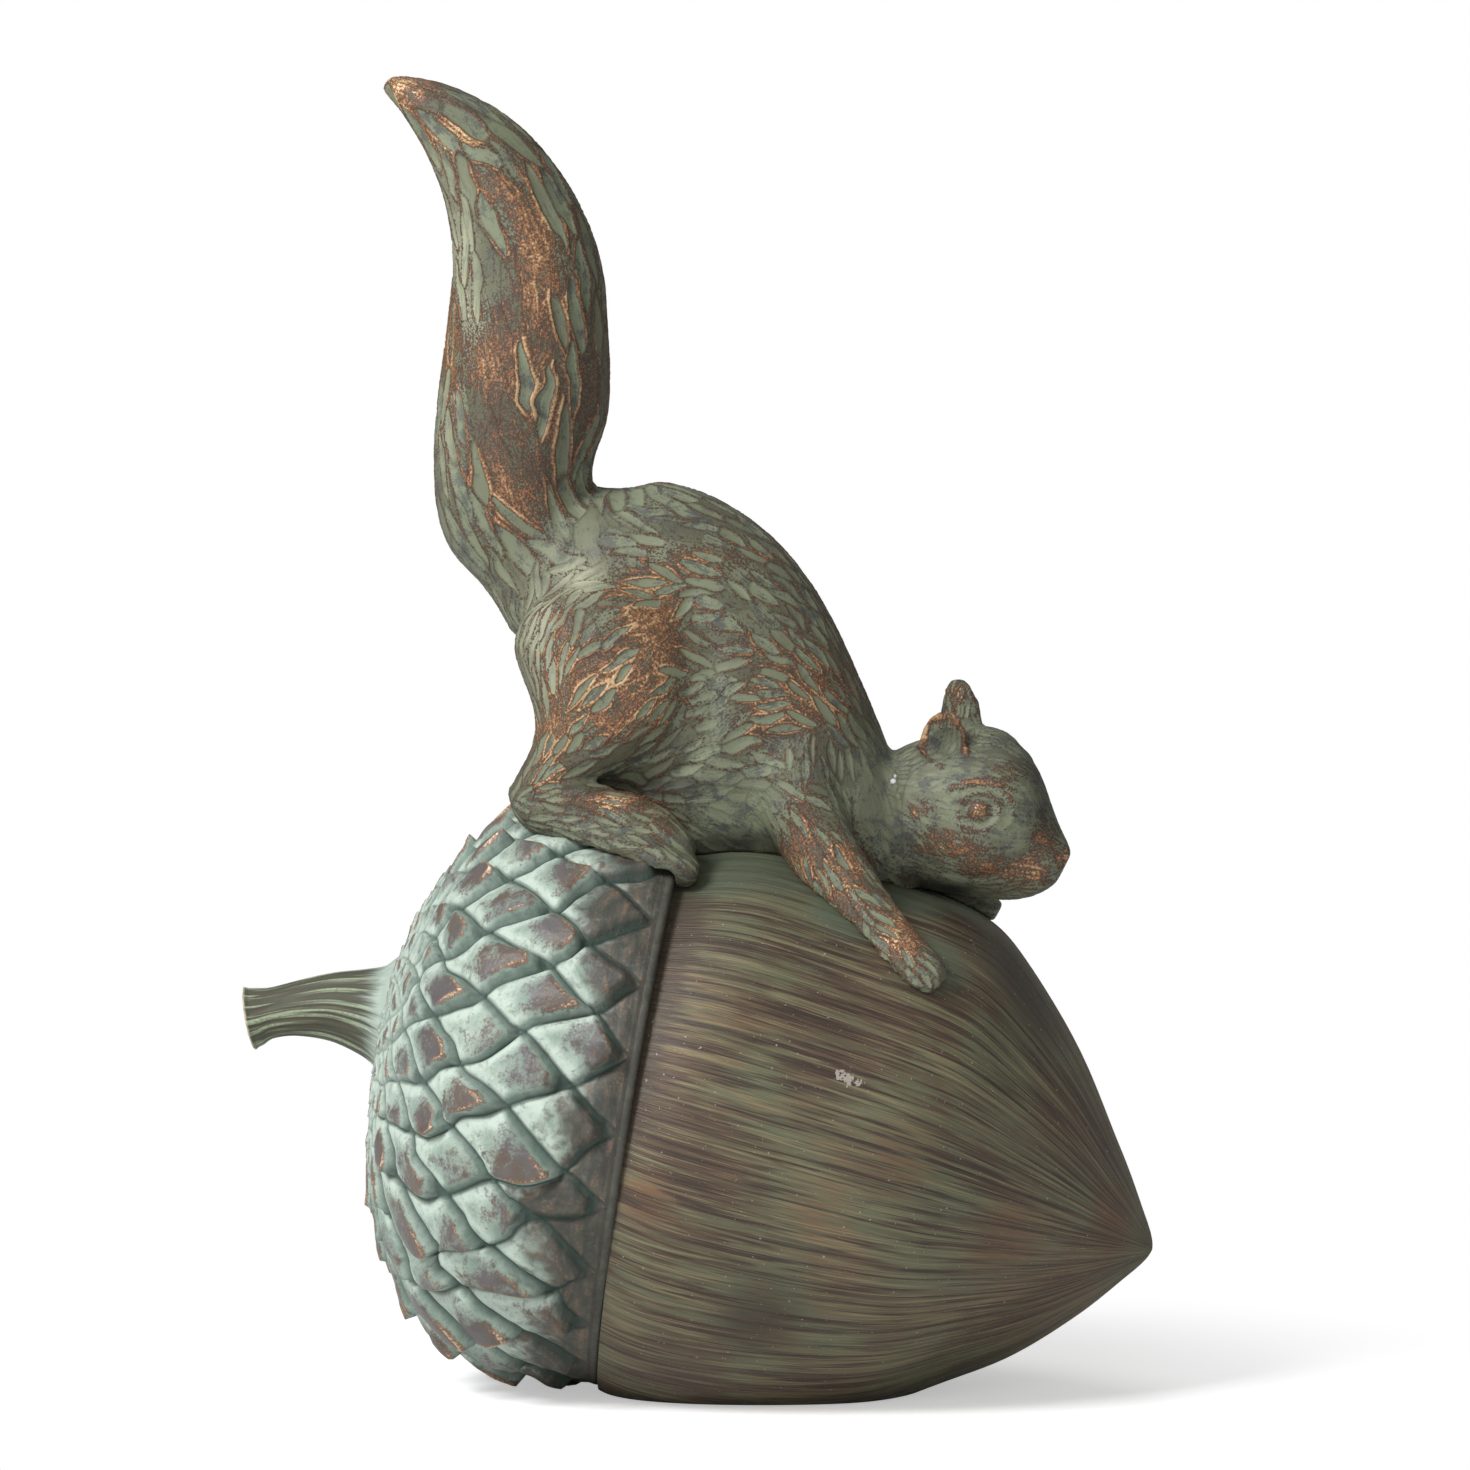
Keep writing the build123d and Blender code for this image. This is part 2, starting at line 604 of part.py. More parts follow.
with BuildPart() as hip_dowels:
    for plane in hip_planes:
        add(round_bar(plane, hip_start, hip_start + HIP_DOWEL_LENGTH, HIP_DOWEL_RADIUS))

with BuildPart() as shoulder_dowels:
    for plane in shoulder_planes:
        add(
            round_bar(
                plane,
                shoulder_start,
                shoulder_start + SHOULDER_DOWEL_LENGTH,
                SHOULDER_DOWEL_RADIUS,
            )
        )

# Squirrel
torso_blank = loft_rows(torso_rows)
with BuildPart() as torso:
    add(torso_blank)
    add(acorn_envelope.part, mode=Mode.SUBTRACT)
    for pins in (mounting_studs, tail_dowel, neck_dowel, hip_dowels, shoulder_dowels):
        add(pins.part, mode=Mode.SUBTRACT)

with BuildPart() as tail:
    add(loft_rows(tail_rows))
    add(tail_dowel.part, mode=Mode.SUBTRACT)

with BuildPart() as head:
    add(loft_rows(head_rows))
    add(loft_rows(place_rows(neck_centre, head_length, NEAR_EAR_SHARES)))
    add(loft_rows(place_rows(neck_centre, head_length, FAR_EAR_SHARES)))
    add(torso_blank, mode=Mode.SUBTRACT)
    add(acorn_envelope.part, mode=Mode.SUBTRACT)
    add(neck_dowel.part, mode=Mode.SUBTRACT)


def limb(rows_of_pieces, pins, neighbours):
    """One leg: its lofts joined, cut back to the torso, the acorn and its neighbours."""
    with BuildPart() as leg:
        for rows in rows_of_pieces:
            add(loft_rows(rows))
        add(torso_blank, mode=Mode.SUBTRACT)
        add(acorn_envelope.part, mode=Mode.SUBTRACT)
        for other in neighbours:
            add(other, mode=Mode.SUBTRACT)
        add(pins.part, mode=Mode.SUBTRACT)
    return leg.part.solids().sort_by(SortBy.VOLUME)[-1]


def leg_rows(table, side):
    """Rows of one leg on one side of the squirrel."""
    return place_rows(saddle, SQUIRREL_REACH, table, side)


with BuildPart() as right_hind_leg:
    add(limb([leg_rows(THIGH_SHARES, -1), leg_rows(HIND_FOOT_SHARES, -1)], hip_dowels, [tail.part]))

with BuildPart() as left_hind_leg:
    add(limb([leg_rows(THIGH_SHARES, 1), leg_rows(HIND_FOOT_SHARES, 1)], hip_dowels, [tail.part]))

with BuildPart() as right_foreleg:
    add(
        limb(
            [leg_rows(NEAR_FORELEG_SHARES, -1)],
            shoulder_dowels,
            [head.part, right_hind_leg.part],
        )
    )

with BuildPart() as left_foreleg:
    add(
        limb(
            [leg_rows(FAR_FORELEG_SHARES, 1)],
            shoulder_dowels,
            [head.part, left_hind_leg.part],
        )
    )

pieces = {
    "nut_shell": nut_shell,
    "cap_shell": cap_shell,
    "stem": stem,
    "stem_rod": stem_rod,
    "rod_washer": rod_washer,
    "rod_nut": rod_nut,
    "base_plate": base_plate,
    "base_screws": base_screws,
    "base_felt": base_felt,
    "ballast_block": ballast_block,
    "ballast_screws": ballast_screws,
    "mounting_studs": mounting_studs,
    "stud_washers": stud_washers,
    "stud_nuts": stud_nuts,
    "torso": torso,
    "head": head,
    "neck_dowel": neck_dowel,
    "tail": tail,
    "tail_dowel": tail_dowel,
    "right_hind_leg": right_hind_leg,
    "left_hind_leg": left_hind_leg,
    "hip_dowels": hip_dowels,
    "right_foreleg": right_foreleg,
    "left_foreleg": left_foreleg,
    "shoulder_dowels": shoulder_dowels,
}

os.makedirs("parts", exist_ok=True)
for name, piece in pieces.items():
    piece.part.label = name
    export_step(piece.part, f"parts/{name}.step")
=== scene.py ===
"""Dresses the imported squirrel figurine: cast forms, carved fur, patina and a plain studio."""

from __future__ import annotations

import logging
import math
from dataclasses import dataclass
from enum import Enum
from typing import Any, Mapping, Sequence

import bmesh
import bpy
import numpy as np
from mathutils import Matrix, Vector
from mathutils.bvhtree import BVHTree
from mathutils.kdtree import KDTree

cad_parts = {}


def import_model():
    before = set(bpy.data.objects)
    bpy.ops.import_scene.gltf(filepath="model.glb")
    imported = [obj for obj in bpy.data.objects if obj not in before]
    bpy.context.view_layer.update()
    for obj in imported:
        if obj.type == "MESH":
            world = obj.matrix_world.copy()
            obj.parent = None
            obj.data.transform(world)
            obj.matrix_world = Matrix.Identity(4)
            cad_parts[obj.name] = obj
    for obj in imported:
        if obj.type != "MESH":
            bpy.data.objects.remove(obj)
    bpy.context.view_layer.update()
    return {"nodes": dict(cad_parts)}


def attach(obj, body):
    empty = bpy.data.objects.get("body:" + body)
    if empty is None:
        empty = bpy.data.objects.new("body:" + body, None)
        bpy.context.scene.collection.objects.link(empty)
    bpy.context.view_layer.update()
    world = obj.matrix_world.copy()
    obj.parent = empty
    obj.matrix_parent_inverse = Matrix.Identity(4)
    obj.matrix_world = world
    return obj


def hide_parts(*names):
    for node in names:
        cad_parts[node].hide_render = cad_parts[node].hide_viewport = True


log = logging.getLogger("figurine")

MM = 0.001
SEED = 20
SIDEWAYS = np.array([0.0, 1.0, 0.0])
Array = np.ndarray
Nodes = Mapping[str, bpy.types.Object]
Colour = tuple[float, float, float]
Pixels = tuple[tuple[float, float], ...]
Blot = tuple[float, float, float, float]


def unit(rows: Array) -> Array:
    """Rows of vectors at length one."""
    return rows / np.maximum(np.linalg.norm(rows, axis=-1, keepdims=True), 1e-12)


def smoothstep(low: float, high: float, values: Array) -> Array:
    """Smooth rise from 0 at low to 1 at high."""
    share = np.clip((values - low) / (high - low), 0.0, 1.0)
    return share * share * (3.0 - 2.0 * share)


def lattice_noise(points: Array, cell: float, seed: int) -> Array:
    """Smooth value noise over points.

    Args:
        points: Places, one row each.
        cell: Size of one lump.
        seed: Number that picks the pattern.

    Returns:
        One value between 0 and 1 for each point.
    """
    table = np.random.default_rng(seed).random(4096)
    scaled = points / cell
    base = np.floor(scaled).astype(np.int64)
    share = scaled - base
    share = share * share * (3.0 - 2.0 * share)
    total = np.zeros(len(points))
    for corner in range(8):
        step = np.array([corner & 1, corner >> 1 & 1, corner >> 2 & 1])
        weight = np.prod(np.where(step == 1, share, 1.0 - share), axis=1)
        index = (base + step) @ np.array([73856093, 19349663, 83492791])
        total += weight * table[index % 4096]
    return total


def linked(name: str, data: bpy.types.ID) -> bpy.types.Object:
    """New object in the scene."""
    made = bpy.data.objects.new(name, data)
    bpy.context.scene.collection.objects.link(made)
    return made


@dataclass(frozen=True)
class PhotoCamera:
    """The camera of the photograph, which ties its pixels to the frame."""

    azimuth: float = math.radians(3.0)
    elevation: float = math.radians(2.5)
    distance: float = 2.2
    far_clip: float = 50.0
    scale: float = 0.3457 * MM
    side: int = 1470
    foot_column: float = 755.0
    foot_row: float = 1391.0
    film: float = 36.0

    @property
    def right(self) -> Array:
        """Direction of growing columns."""
        return np.array([math.cos(self.azimuth), math.sin(self.azimuth), 0.0])

    @property
    def above(self) -> Array:
        """Direction of falling rows."""
        return np.cross(self.back, self.right)

    @property
    def back(self) -> Array:
        """Direction from the object to the camera."""
        level = math.cos(self.elevation)
        return np.array([
            math.sin(self.azimuth) * level, -math.cos(self.azimuth) * level, math.sin(self.elevation),
        ])

    @property
    def place(self) -> Array:
        """Where the camera stands."""
        middle = self.side / 2
        target = np.array([middle - self.foot_column, 0.0, self.foot_row - middle]) * self.scale
        return target + self.back * self.distance

    def ray(self, column: float, row: float) -> Array:
        """Direction in which a pixel looks."""
        aside = (column - self.side / 2) * self.scale
        upward = (self.side / 2 - row) * self.scale
        return unit(self.right * aside + self.above * upward - self.back * self.distance)

    def at(self, column: float, row: float, depth: float = 0.0) -> Array:
        """Point of a pixel at a depth, in millimetres behind the middle plane."""
        direction = self.ray(column, row)
        return self.place + direction * ((depth * MM - self.place[1]) / direction[1])

    def project(self, points: Array) -> tuple[Array, Array]:
        """Find points in the photograph.

        Args:
            points: Places, one row each.

        Returns:
            The columns and the rows at which they are seen.
        """
        offset = points - self.place
        spread = -self.distance / (self.scale * (offset @ self.back))
        columns = self.side / 2 + (offset @ self.right) * spread
        return columns, self.side / 2 - (offset @ self.above) * spread

    def build(self) -> None:
        """Add the camera to the scene."""
        data = bpy.data.cameras.new("photo_camera")
        data.sensor_width = self.film
        data.lens = self.film * self.distance / (self.side * self.scale)
        data.clip_end = self.far_clip
        camera = linked("photo_camera", data)
        camera.location = Vector(self.place)
        camera.rotation_euler = Vector(-self.back).to_track_quat("-Z", "Y").to_euler()
        bpy.context.scene.camera = camera


PHOTO = PhotoCamera()


@dataclass(frozen=True)
class Signal:
    """Output of a shader node, which numbers can be added to and multiplied with."""

    graph: Graph
    socket: bpy.types.NodeSocket

    def _maths(self, operation: str, first: Any, second: Any) -> Signal:
        """One Math node on two values."""
        return self.graph.node("ShaderNodeMath", {"operation": operation}, {0: first, 1: second})

    def __add__(self, other: Any) -> Signal:
        """Sum."""
        return self._maths("ADD", self, other)

    def __sub__(self, other: Any) -> Signal:
        """Difference."""
        return self._maths("SUBTRACT", self, other)

    def __rsub__(self, other: Any) -> Signal:
        """Difference with the number first."""
        return self._maths("SUBTRACT", other, self)

    def __mul__(self, other: Any) -> Signal:
        """Product."""
        return self._maths("MULTIPLY", self, other)

    __radd__ = __add__
    __rmul__ = __mul__

    def peak(self, other: Any) -> Signal:
        """The larger of two values."""
        return self._maths("MAXIMUM", self, other)

    def rise(self, low: float, high: float) -> Signal:
        """Smooth step from 0 at low to 1 at high."""
        settings = {"interpolation_type": "SMOOTHSTEP"}
        inputs = {"Value": self, "From Min": low, "From Max": high}
        return self.graph.node("ShaderNodeMapRange", settings, inputs)


class Graph:
    """Node tree of one material."""

    def __init__(self, tree: bpy.types.NodeTree) -> None:
        """Empty the tree and start on it."""
        self.tree = tree
        tree.nodes.clear()

    def node(
        self,
        kind: str,
        settings: Mapping[str, Any],
        inputs: Mapping[int | str, Any],
        output: int | str = 0,
    ) -> Signal:
        """Add a node.

        Args:
            kind: Type of the node.
            settings: Its properties, set first.
            inputs: Values or signals by socket name or number.
            output: Name or number of the socket that is passed on.

        Returns:
            The output as a signal.
        """
        made = self.tree.nodes.new(kind)
        for name, value in settings.items():
            setattr(made, name, value)
        for name, value in inputs.items():
            socket = made.inputs[name]
            if isinstance(value, Signal):
                self.tree.links.new(value.socket, socket)
            elif isinstance(value, tuple) and len(socket.default_value) == 4:
                socket.default_value = (*value, 1.0)
            else:
                socket.default_value = value
        return Signal(self, made.outputs[output])

    def values(self, *names: str, output: str = "Fac") -> list[Signal]:
        """Numbers stored on the points of a mesh."""
        kind = "ShaderNodeAttribute"
        return [self.node(kind, {"attribute_name": name}, {}, output) for name in names]

    def vector(self, name: str) -> Signal:
        """Vector stored on the points of a mesh."""
        return self.values(name, output="Vector")[0]

    def place(self) -> Signal:
        """Position on the object, in metres."""
        return self.node("ShaderNodeTexCoord", {}, {}, "Object")

    def along(
        self, operation: str, first: Any, second: Any = (0.0, 0.0, 0.0), output: str = "Vector"
    ) -> Signal:
        """Vector maths on one or two vectors."""
        settings = {"operation": operation}
        return self.node("ShaderNodeVectorMath", settings, {0: first, 1: second}, output)

    def scaled(self, vector: Any, factor: Any) -> Signal:
        """Vector times a number."""
        settings = {"operation": "SCALE"}
        return self.node("ShaderNodeVectorMath", settings, {0: vector, "Scale": factor})

    def noise(self, vector: Signal, scale: float, detail: float = 3.0, warp: float = 0.0) -> Signal:
        """Cloud noise between about 0.2 and 0.8."""
        inputs = {"Vector": vector, "Scale": scale, "Detail": detail, "Distortion": warp}
        return self.node("ShaderNodeTexNoise", {}, inputs)

    def paint(self, base: Any, *coats: tuple[Any, Any]) -> Any:
        """Lay coats over a colour.

        Args:
            base: The colour below.
            coats: Share and colour of each coat, the lowest first.

        Returns:
            The painted colour.
        """
        for share, colour in coats:
            base = self.node("ShaderNodeMix", {"data_type": "RGBA"}, {0: share, 6: base, 7: colour}, 2)
        return base

    def bump(self, height: Signal, depth: float, strength: float = 1.0) -> Signal:
        """Normal tilted by a height, with depth in millimetres."""
        inputs = {"Height": height, "Distance": depth * MM, "Strength": strength}
        return self.node("ShaderNodeBump", {}, inputs)

    def close(self, kind: str, shader: Signal) -> None:
        """Lead a shader to the tree's output."""
        self.tree.links.new(shader.socket, self.tree.nodes.new(kind).inputs["Surface"])

    def surface(self, inputs: Mapping[str, Any]) -> None:
        """Principled surface on the material's output."""
        self.close("ShaderNodeOutputMaterial", self.node("ShaderNodeBsdfPrincipled", {}, inputs))


class Finish:
    """Base of the finishes: one material, built when it is first asked for."""

    name: str

    def shade(self, graph: Graph) -> None:
        """Fill the material's nodes."""
        raise NotImplementedError

    def material(self) -> bpy.types.Material:
        """The finish as a material."""
        known = bpy.data.materials.get(self.name)
        if known is not None:
            return known
        made = bpy.data.materials.new(self.name)
        made.use_nodes = True
        self.shade(Graph(made.node_tree))
        return made

    def dress(self, piece: bpy.types.Object) -> None:
        """Give the whole piece this finish."""
        materials = piece.data.materials
        if not len(materials):
            materials.append(None)
        for index in range(len(materials)):
            materials[index] = self.material()


@dataclass(frozen=True)
class FurPatina(Finish):
    """Green patina in the leaf-shaped hollows, brown and copper rubbed bare between them, and painted shade
    under the jaw and in the creases.
    """

    name: str = "fur_patina"
    green: Colour = (0.205, 0.228, 0.145)
    moss: Colour = (0.105, 0.104, 0.064)
    slate: Colour = (0.062, 0.068, 0.068)
    mint: Colour = (0.420, 0.430, 0.300)
    umber: Colour = (0.072, 0.040, 0.026)
    copper: Colour = (0.300, 0.142, 0.064)
    gold: Colour = (0.600, 0.420, 0.230)
    # Near-black of the painted shade.
    dark_and_shade: Colour = (0.020, 0.019, 0.017)
    chip: Colour = (0.620, 0.620, 0.600)

    def shade(self, graph: Graph) -> None:
        """Fill the material's nodes."""
        place = graph.place()
        leaf, brink, tone, chipped = graph.values("leaf", "brink", "tone", "chip")
        tint = graph.vector("tint")
        rubbed, painted_shade, limed = (
            graph.node("ShaderNodeSeparateXYZ", {}, {0: tint}, axis) for axis in "XYZ"
        )
        fine = graph.noise(place, 1300.0, 3.0)
        broad = graph.noise(place, 38.0, 3.0)
        blotch = graph.noise(place, 170.0, 4.0, 0.6)
        streak = graph.noise(graph.vector("grain"), 1.0, 4.0, 0.3)
        speck = fine - 0.5
        field = 1.0 - leaf
        mottle = (blotch + streak * 0.5 + tone * 0.2 + speck * 0.5 - 0.40).rise(0.40, 0.66)
        bare = brink * (rubbed * 0.58 + (blotch - 0.5) * 0.8 + 0.32) + field * 0.07
        bare = bare + rubbed * (streak * 0.9 + blotch * 1.2 - 0.56) * (1.0 - leaf * 0.9)
        bare = bare + speck * (field * (rubbed * 1.5 + 0.6) + brink * 0.9 + 0.1)
        bare = bare + (streak - 0.5) * 0.45 * field
        colour = graph.paint(
            self.moss,
            ((tone * 0.5 + broad * 0.9 + leaf * 0.45 - 0.45).rise(0.05, 0.8), self.green),
            (mottle * 0.8, self.slate),
            (limed * (streak * 2.4 - 0.45).rise(0.0, 1.0), self.mint),
            (bare.rise(0.16, 0.32), self.umber),
            (bare.rise(0.38, 0.70), self.copper),
            (bare.rise(0.74, 1.12), self.gold),
            # painted shade: near-black laid under the jaw and cheek, in the belly recess and in the creases
            (painted_shade * (blotch * 0.5 + 0.65), self.dark_and_shade),
            (chipped, self.chip),
        )
        graph.surface({
            "Base Color": colour,
            "Metallic": bare.rise(0.5, 1.0) * 0.35,
            "Roughness": 0.58 - bare.rise(0.4, 1.0) * 0.20 + speck * 0.12,
            "Normal": graph.bump(streak * 0.65 + fine * 0.45, 0.42, 0.85),
            "Specular IOR Level": 0.45,
        })


@dataclass(frozen=True)
class CapPatina(Finish):
    """Pale verdigris on the cap's scales, with bronze tips, and painted shade in the crevices and at the
    rim.
    """

    name: str = "cap_patina"
    aqua: Colour = (0.240, 0.325, 0.268)
    foam: Colour = (0.540, 0.640, 0.560)
    moss: Colour = (0.085, 0.105, 0.078)
    plum: Colour = (0.105, 0.085, 0.092)
    umber: Colour = (0.100, 0.062, 0.045)
    ember: Colour = (0.300, 0.155, 0.085)
    glint: Colour = (0.620, 0.470, 0.330)
    # Dark teal of the painted shade on the steep faces of the scales.
    shade_teal: Colour = (0.020, 0.050, 0.040)
    # Near-black of the painted shade at the rim and on the lip.
    rim_shade: Colour = (0.032, 0.026, 0.020)

    def shade(self, graph: Graph) -> None:
        """Fill the material's nodes."""
        place = graph.place()
        tip, crevice_shade, tone, rim = graph.values("tip", "crevice_shade", "tone", "rim")
        edge, valley, crown = graph.values("edge", "valley", "crown")
        streak = graph.noise(graph.vector("grain"), 1.0, 4.0, 0.4)
        fine = graph.noise(place, 1100.0, 4.0)
        broad = graph.noise(place, 60.0, 3.0)
        blotch = graph.noise(place, 220.0, 4.0, 0.5)
        speck = fine - 0.5
        pale = streak * 0.7 + broad * 0.6 + blotch * 0.5 + valley * 0.42 + crown * 0.30 + speck * 0.4
        worn = tip * (tone * 0.55 + 0.66) + (blotch - 0.5) * 1.1 + (streak - 0.5) * 0.9 + speck * 0.9
        worn = worn * (1.0 - rim * 0.35) - crown * 0.06
        bright = edge * (tone * 0.6 + 0.40) + worn * 0.30 + speck * 1.6
        # Brown break-up in the rim's painted shade.
        rim_shade = (streak * 0.6 + blotch * 0.5).rise(0.46, 0.66) * 0.5
        colour = graph.paint(
            self.aqua,
            ((pale - 0.42).rise(0.22, 0.78), self.foam),
            ((blotch * 1.2 - 0.5 + speck * 0.6).rise(0.06, 0.40) * 0.45, self.moss),
            (worn.rise(0.30, 0.95) * 0.92,
             graph.paint(self.plum, (broad.rise(0.42, 0.60), self.umber))),
            (bright.rise(0.60, 0.90) * 0.85, self.ember),
            (bright.rise(0.92, 1.20), self.glint),
            # painted shade darkening the rim rows, the lip and the inside of the cap
            ((rim * 1.25 + (blotch - 0.5) * 1.2 - 0.18).rise(0.05, 1.0) * 0.92,
             graph.paint(self.rim_shade, (rim_shade, self.umber))),
            (rim * (blotch * 1.6 + streak * 0.8 - 1.15).rise(0.0, 0.35) * 0.50, self.moss),
            (rim * (streak * 0.9 + fine * 0.9 - 0.86).rise(0.10, 0.28) * 0.45, self.ember),
            # painted shade: dark teal on the steep faces where each scale drops
            (crevice_shade * (0.88 - crown * 0.50), self.shade_teal),
        )
        graph.surface({
            "Base Color": colour,
            "Metallic": bright.rise(0.8, 1.3) * 0.5,
            "Roughness": 0.60 - worn.rise(0.4, 1.0) * 0.18,
            "Normal": graph.bump(streak * 0.5 + fine * 0.4 + blotch * 0.6, 0.60, 0.9),
            "Specular IOR Level": 0.45,
        })


@dataclass(frozen=True)
class NutPatina(Finish):
    """Brown bronze with olive fibres that run from the rim and meet at the tip, and painted shade in dark
    spots under the head and low on the nut.

    Its spots are given as column, row, depth and radius, the last two in millimetres.
    """

    name: str = "nut_patina"
    brown: Colour = (0.102, 0.066, 0.042)
    olive: Colour = (0.138, 0.150, 0.087)
    # Near-black for the dark fibres and for the painted shade of the dark spots.
    dark_and_shade: Colour = (0.034, 0.026, 0.022)
    straw: Colour = (0.280, 0.220, 0.122)
    umber: Colour = (0.066, 0.046, 0.034)
    rust: Colour = (0.190, 0.075, 0.040)
    verdigris: Colour = (0.120, 0.150, 0.100)
    chip: Colour = (0.430, 0.380, 0.330)
    skirt: tuple[Blot, ...] = (
        (560, 815, -45, 30), (640, 850, -45, 30), (720, 855, -40, 26), (790, 860, -38, 22),
        (850, 905, -48, 20), (925, 970, -52, 19), (900, 895, -20, 24), (960, 905, -8, 15),
    )
    # The dark spots are painted shade: under the head and muzzle, and low on the near side of the nut.
    dark: tuple[Blot, ...] = ((990, 945, -26, 30), (1030, 1000, -28, 30), (757, 1315, -84, 24))
    warm: tuple[Blot, ...] = (
        (645, 1203, -97, 15), (1105, 1225, -20, 22), (1010, 1240, -62, 24), (900, 1160, -90, 20),
    )
    flakes: tuple[Blot, ...] = (
        (840, 1074, -90.0, 3.4), (848, 1079, -89.8, 3.8), (859, 1083, -89.5, 2.8),
    )

    def near(self, graph: Graph, place: Signal, *spots: Blot, soft: float = 0.1) -> Signal:
        """Share of some spots.

        Args:
            graph: The material's nodes.
            place: Position on the object.
            spots: The spots.
            soft: Share of its radius up to which a spot is full.

        Returns:
            1 in the middle of a spot and 0 outside all of them.
        """
        share: Any = 0.0
        for column, row, depth, radius in spots:
            middle = tuple(float(value) for value in PHOTO.at(column, row, depth))
            away = graph.along("DISTANCE", place, middle, "Value")
            share = (1.0 - away.rise(radius * soft * MM, radius * MM)).peak(share)
        return share

    def shade(self, graph: Graph) -> None:
        """Fill the material's nodes."""
        acorn = Acorn()
        place = graph.place()
        offset = graph.along("SUBTRACT", place, tuple(acorn.rim_centre))
        station = graph.along("DOT_PRODUCT", offset, tuple(acorn.nut_along), "Value")
        axis = graph.scaled(tuple(acorn.nut_along), station)
        around = graph.along("NORMALIZE", graph.along("SUBTRACT", offset, axis))
        fibre = graph.along("ADD", graph.scaled(around, 46.0), graph.scaled(axis, 22.0))
        thread = graph.along("ADD", graph.scaled(around, 230.0), graph.scaled(axis, 44.0))
        band = graph.noise(fibre, 1.0, 5.0, 0.6)
        hair = graph.noise(thread, 1.0, 3.0, 0.3)
        broad = graph.noise(place, 14.0, 3.0, 0.5)
        cloud = graph.noise(place, 26.0, 3.0, 0.4)
        fine = graph.noise(place, 900.0, 2.0)
        start = 1.0 - (station + (band - 0.5) * 0.014).rise(0.001, 0.008)
        warm = self.near(graph, place, *self.warm) * (hair * 1.8 + band * 1.8 - 1.5).rise(0.0, 0.7)
        skirt = self.near(graph, place, *self.skirt, soft=0.45)
        flake = self.near(graph, place, *self.flakes)
        mottle = (band * 1.6 + hair * 0.8 - 0.6).rise(0.0, 1.0) * 0.85
        colour = graph.paint(
            self.brown,
            ((band * 1.3 + cloud * 0.9 - 0.56).rise(0.34, 0.76), self.olive),
            ((broad - 0.10).rise(0.44, 0.58) * band.rise(0.44, 0.62) * 0.50, self.rust),
            ((1.0 - hair + (0.5 - band) * 1.1).rise(0.52, 0.70) * 0.75, self.dark_and_shade),
            ((hair + band * 0.6 - 0.24).rise(0.60, 0.74) * (1.0 - start) * 0.70, self.straw),
            (start * 0.65, self.umber),
            (warm * 0.75, self.rust),
            (skirt * (hair * 1.2 + band * 0.8 - 0.25), self.verdigris),
            # painted shade: near-black spots under the head and low on the nut
            *((self.near(graph, place, spot) * mottle, self.dark_and_shade) for spot in self.dark),
            ((flake * 1.2 + (fine - 0.5) * 3.3 - 0.65).rise(0.0, 0.25), self.chip),
        )
        graph.surface({
            "Base Color": colour,
            "Metallic": 0.20,
            "Roughness": 0.50 + (hair - 0.5) * 0.3 + (fine - 0.5) * 0.1,
            "Normal": graph.bump(hair * 0.6 + band * 0.9 + fine * 0.1, 0.60, 0.8),
            "Specular IOR Level": 0.5,
        })


@dataclass(frozen=True)
class StemPatina(Finish):
    """Brown-green bark lines along the stem, pale where it meets the cap."""

    name: str = "stem_patina"
    bark: Colour = (0.070, 0.072, 0.046)
    sage: Colour = (0.330, 0.400, 0.262)
    foam: Colour = (0.400, 0.480, 0.420)
    rust: Colour = (0.150, 0.065, 0.045)
    glint: Colour = (0.780, 0.680, 0.460)

    def shade(self, graph: Graph) -> None:
        """Fill the material's nodes."""
        groove, root, edge = graph.values("groove", "root", "edge")
        streak = graph.noise(graph.vector("grain"), 1.0, 4.0, 0.4)
        fine = graph.noise(graph.place(), 1000.0, 3.0)
        colour = graph.paint(
            self.bark,
            ((streak + 0.20 - groove * 0.6).rise(0.30, 0.60), self.sage),
            ((streak * 0.6 + fine * 0.6).rise(0.62, 0.75) * 0.5, self.rust),
            ((root + (streak - 0.5) * 1.2).rise(0.20, 0.9), self.foam),
            (edge * (fine * 0.8 + 0.4), self.glint),
        )
        graph.surface({
            "Base Color": colour,
            "Metallic": edge * 0.6,
            "Roughness": 0.58 - edge * 0.2,
            "Normal": graph.bump(streak * 0.7 + fine * 0.3, 0.4, 0.8),
            "Specular IOR Level": 0.45,
        })


@dataclass(frozen=True)
class PlainGrain(Finish):
    """Fine-grained finish of a hidden piece: steel, wood, plastic, felt or iron."""

    name: str
    low: Colour
    high: Colour
    scale: float
    metallic: float
    roughness: float
    depth: float
    stretch: tuple[float, float, float] = (1.0, 1.0, 1.0)

    def shade(self, graph: Graph) -> None:
        """Fill the material's nodes."""
        place = graph.along("MULTIPLY", graph.place(), self.stretch)
        grain = graph.noise(place, self.scale, 5.0, 0.4)
        cloud = graph.noise(place, self.scale * 0.12, 3.0)
        share = (grain * 0.7 + cloud * 0.5 - 0.1).rise(0.3, 0.75)
        graph.surface({
            "Base Color": graph.paint(self.low, (share, self.high)),
            "Metallic": self.metallic,
            "Roughness": self.roughness + (grain - 0.5) * 0.2,
            "Normal": graph.bump(grain, self.depth, 0.6),
        })


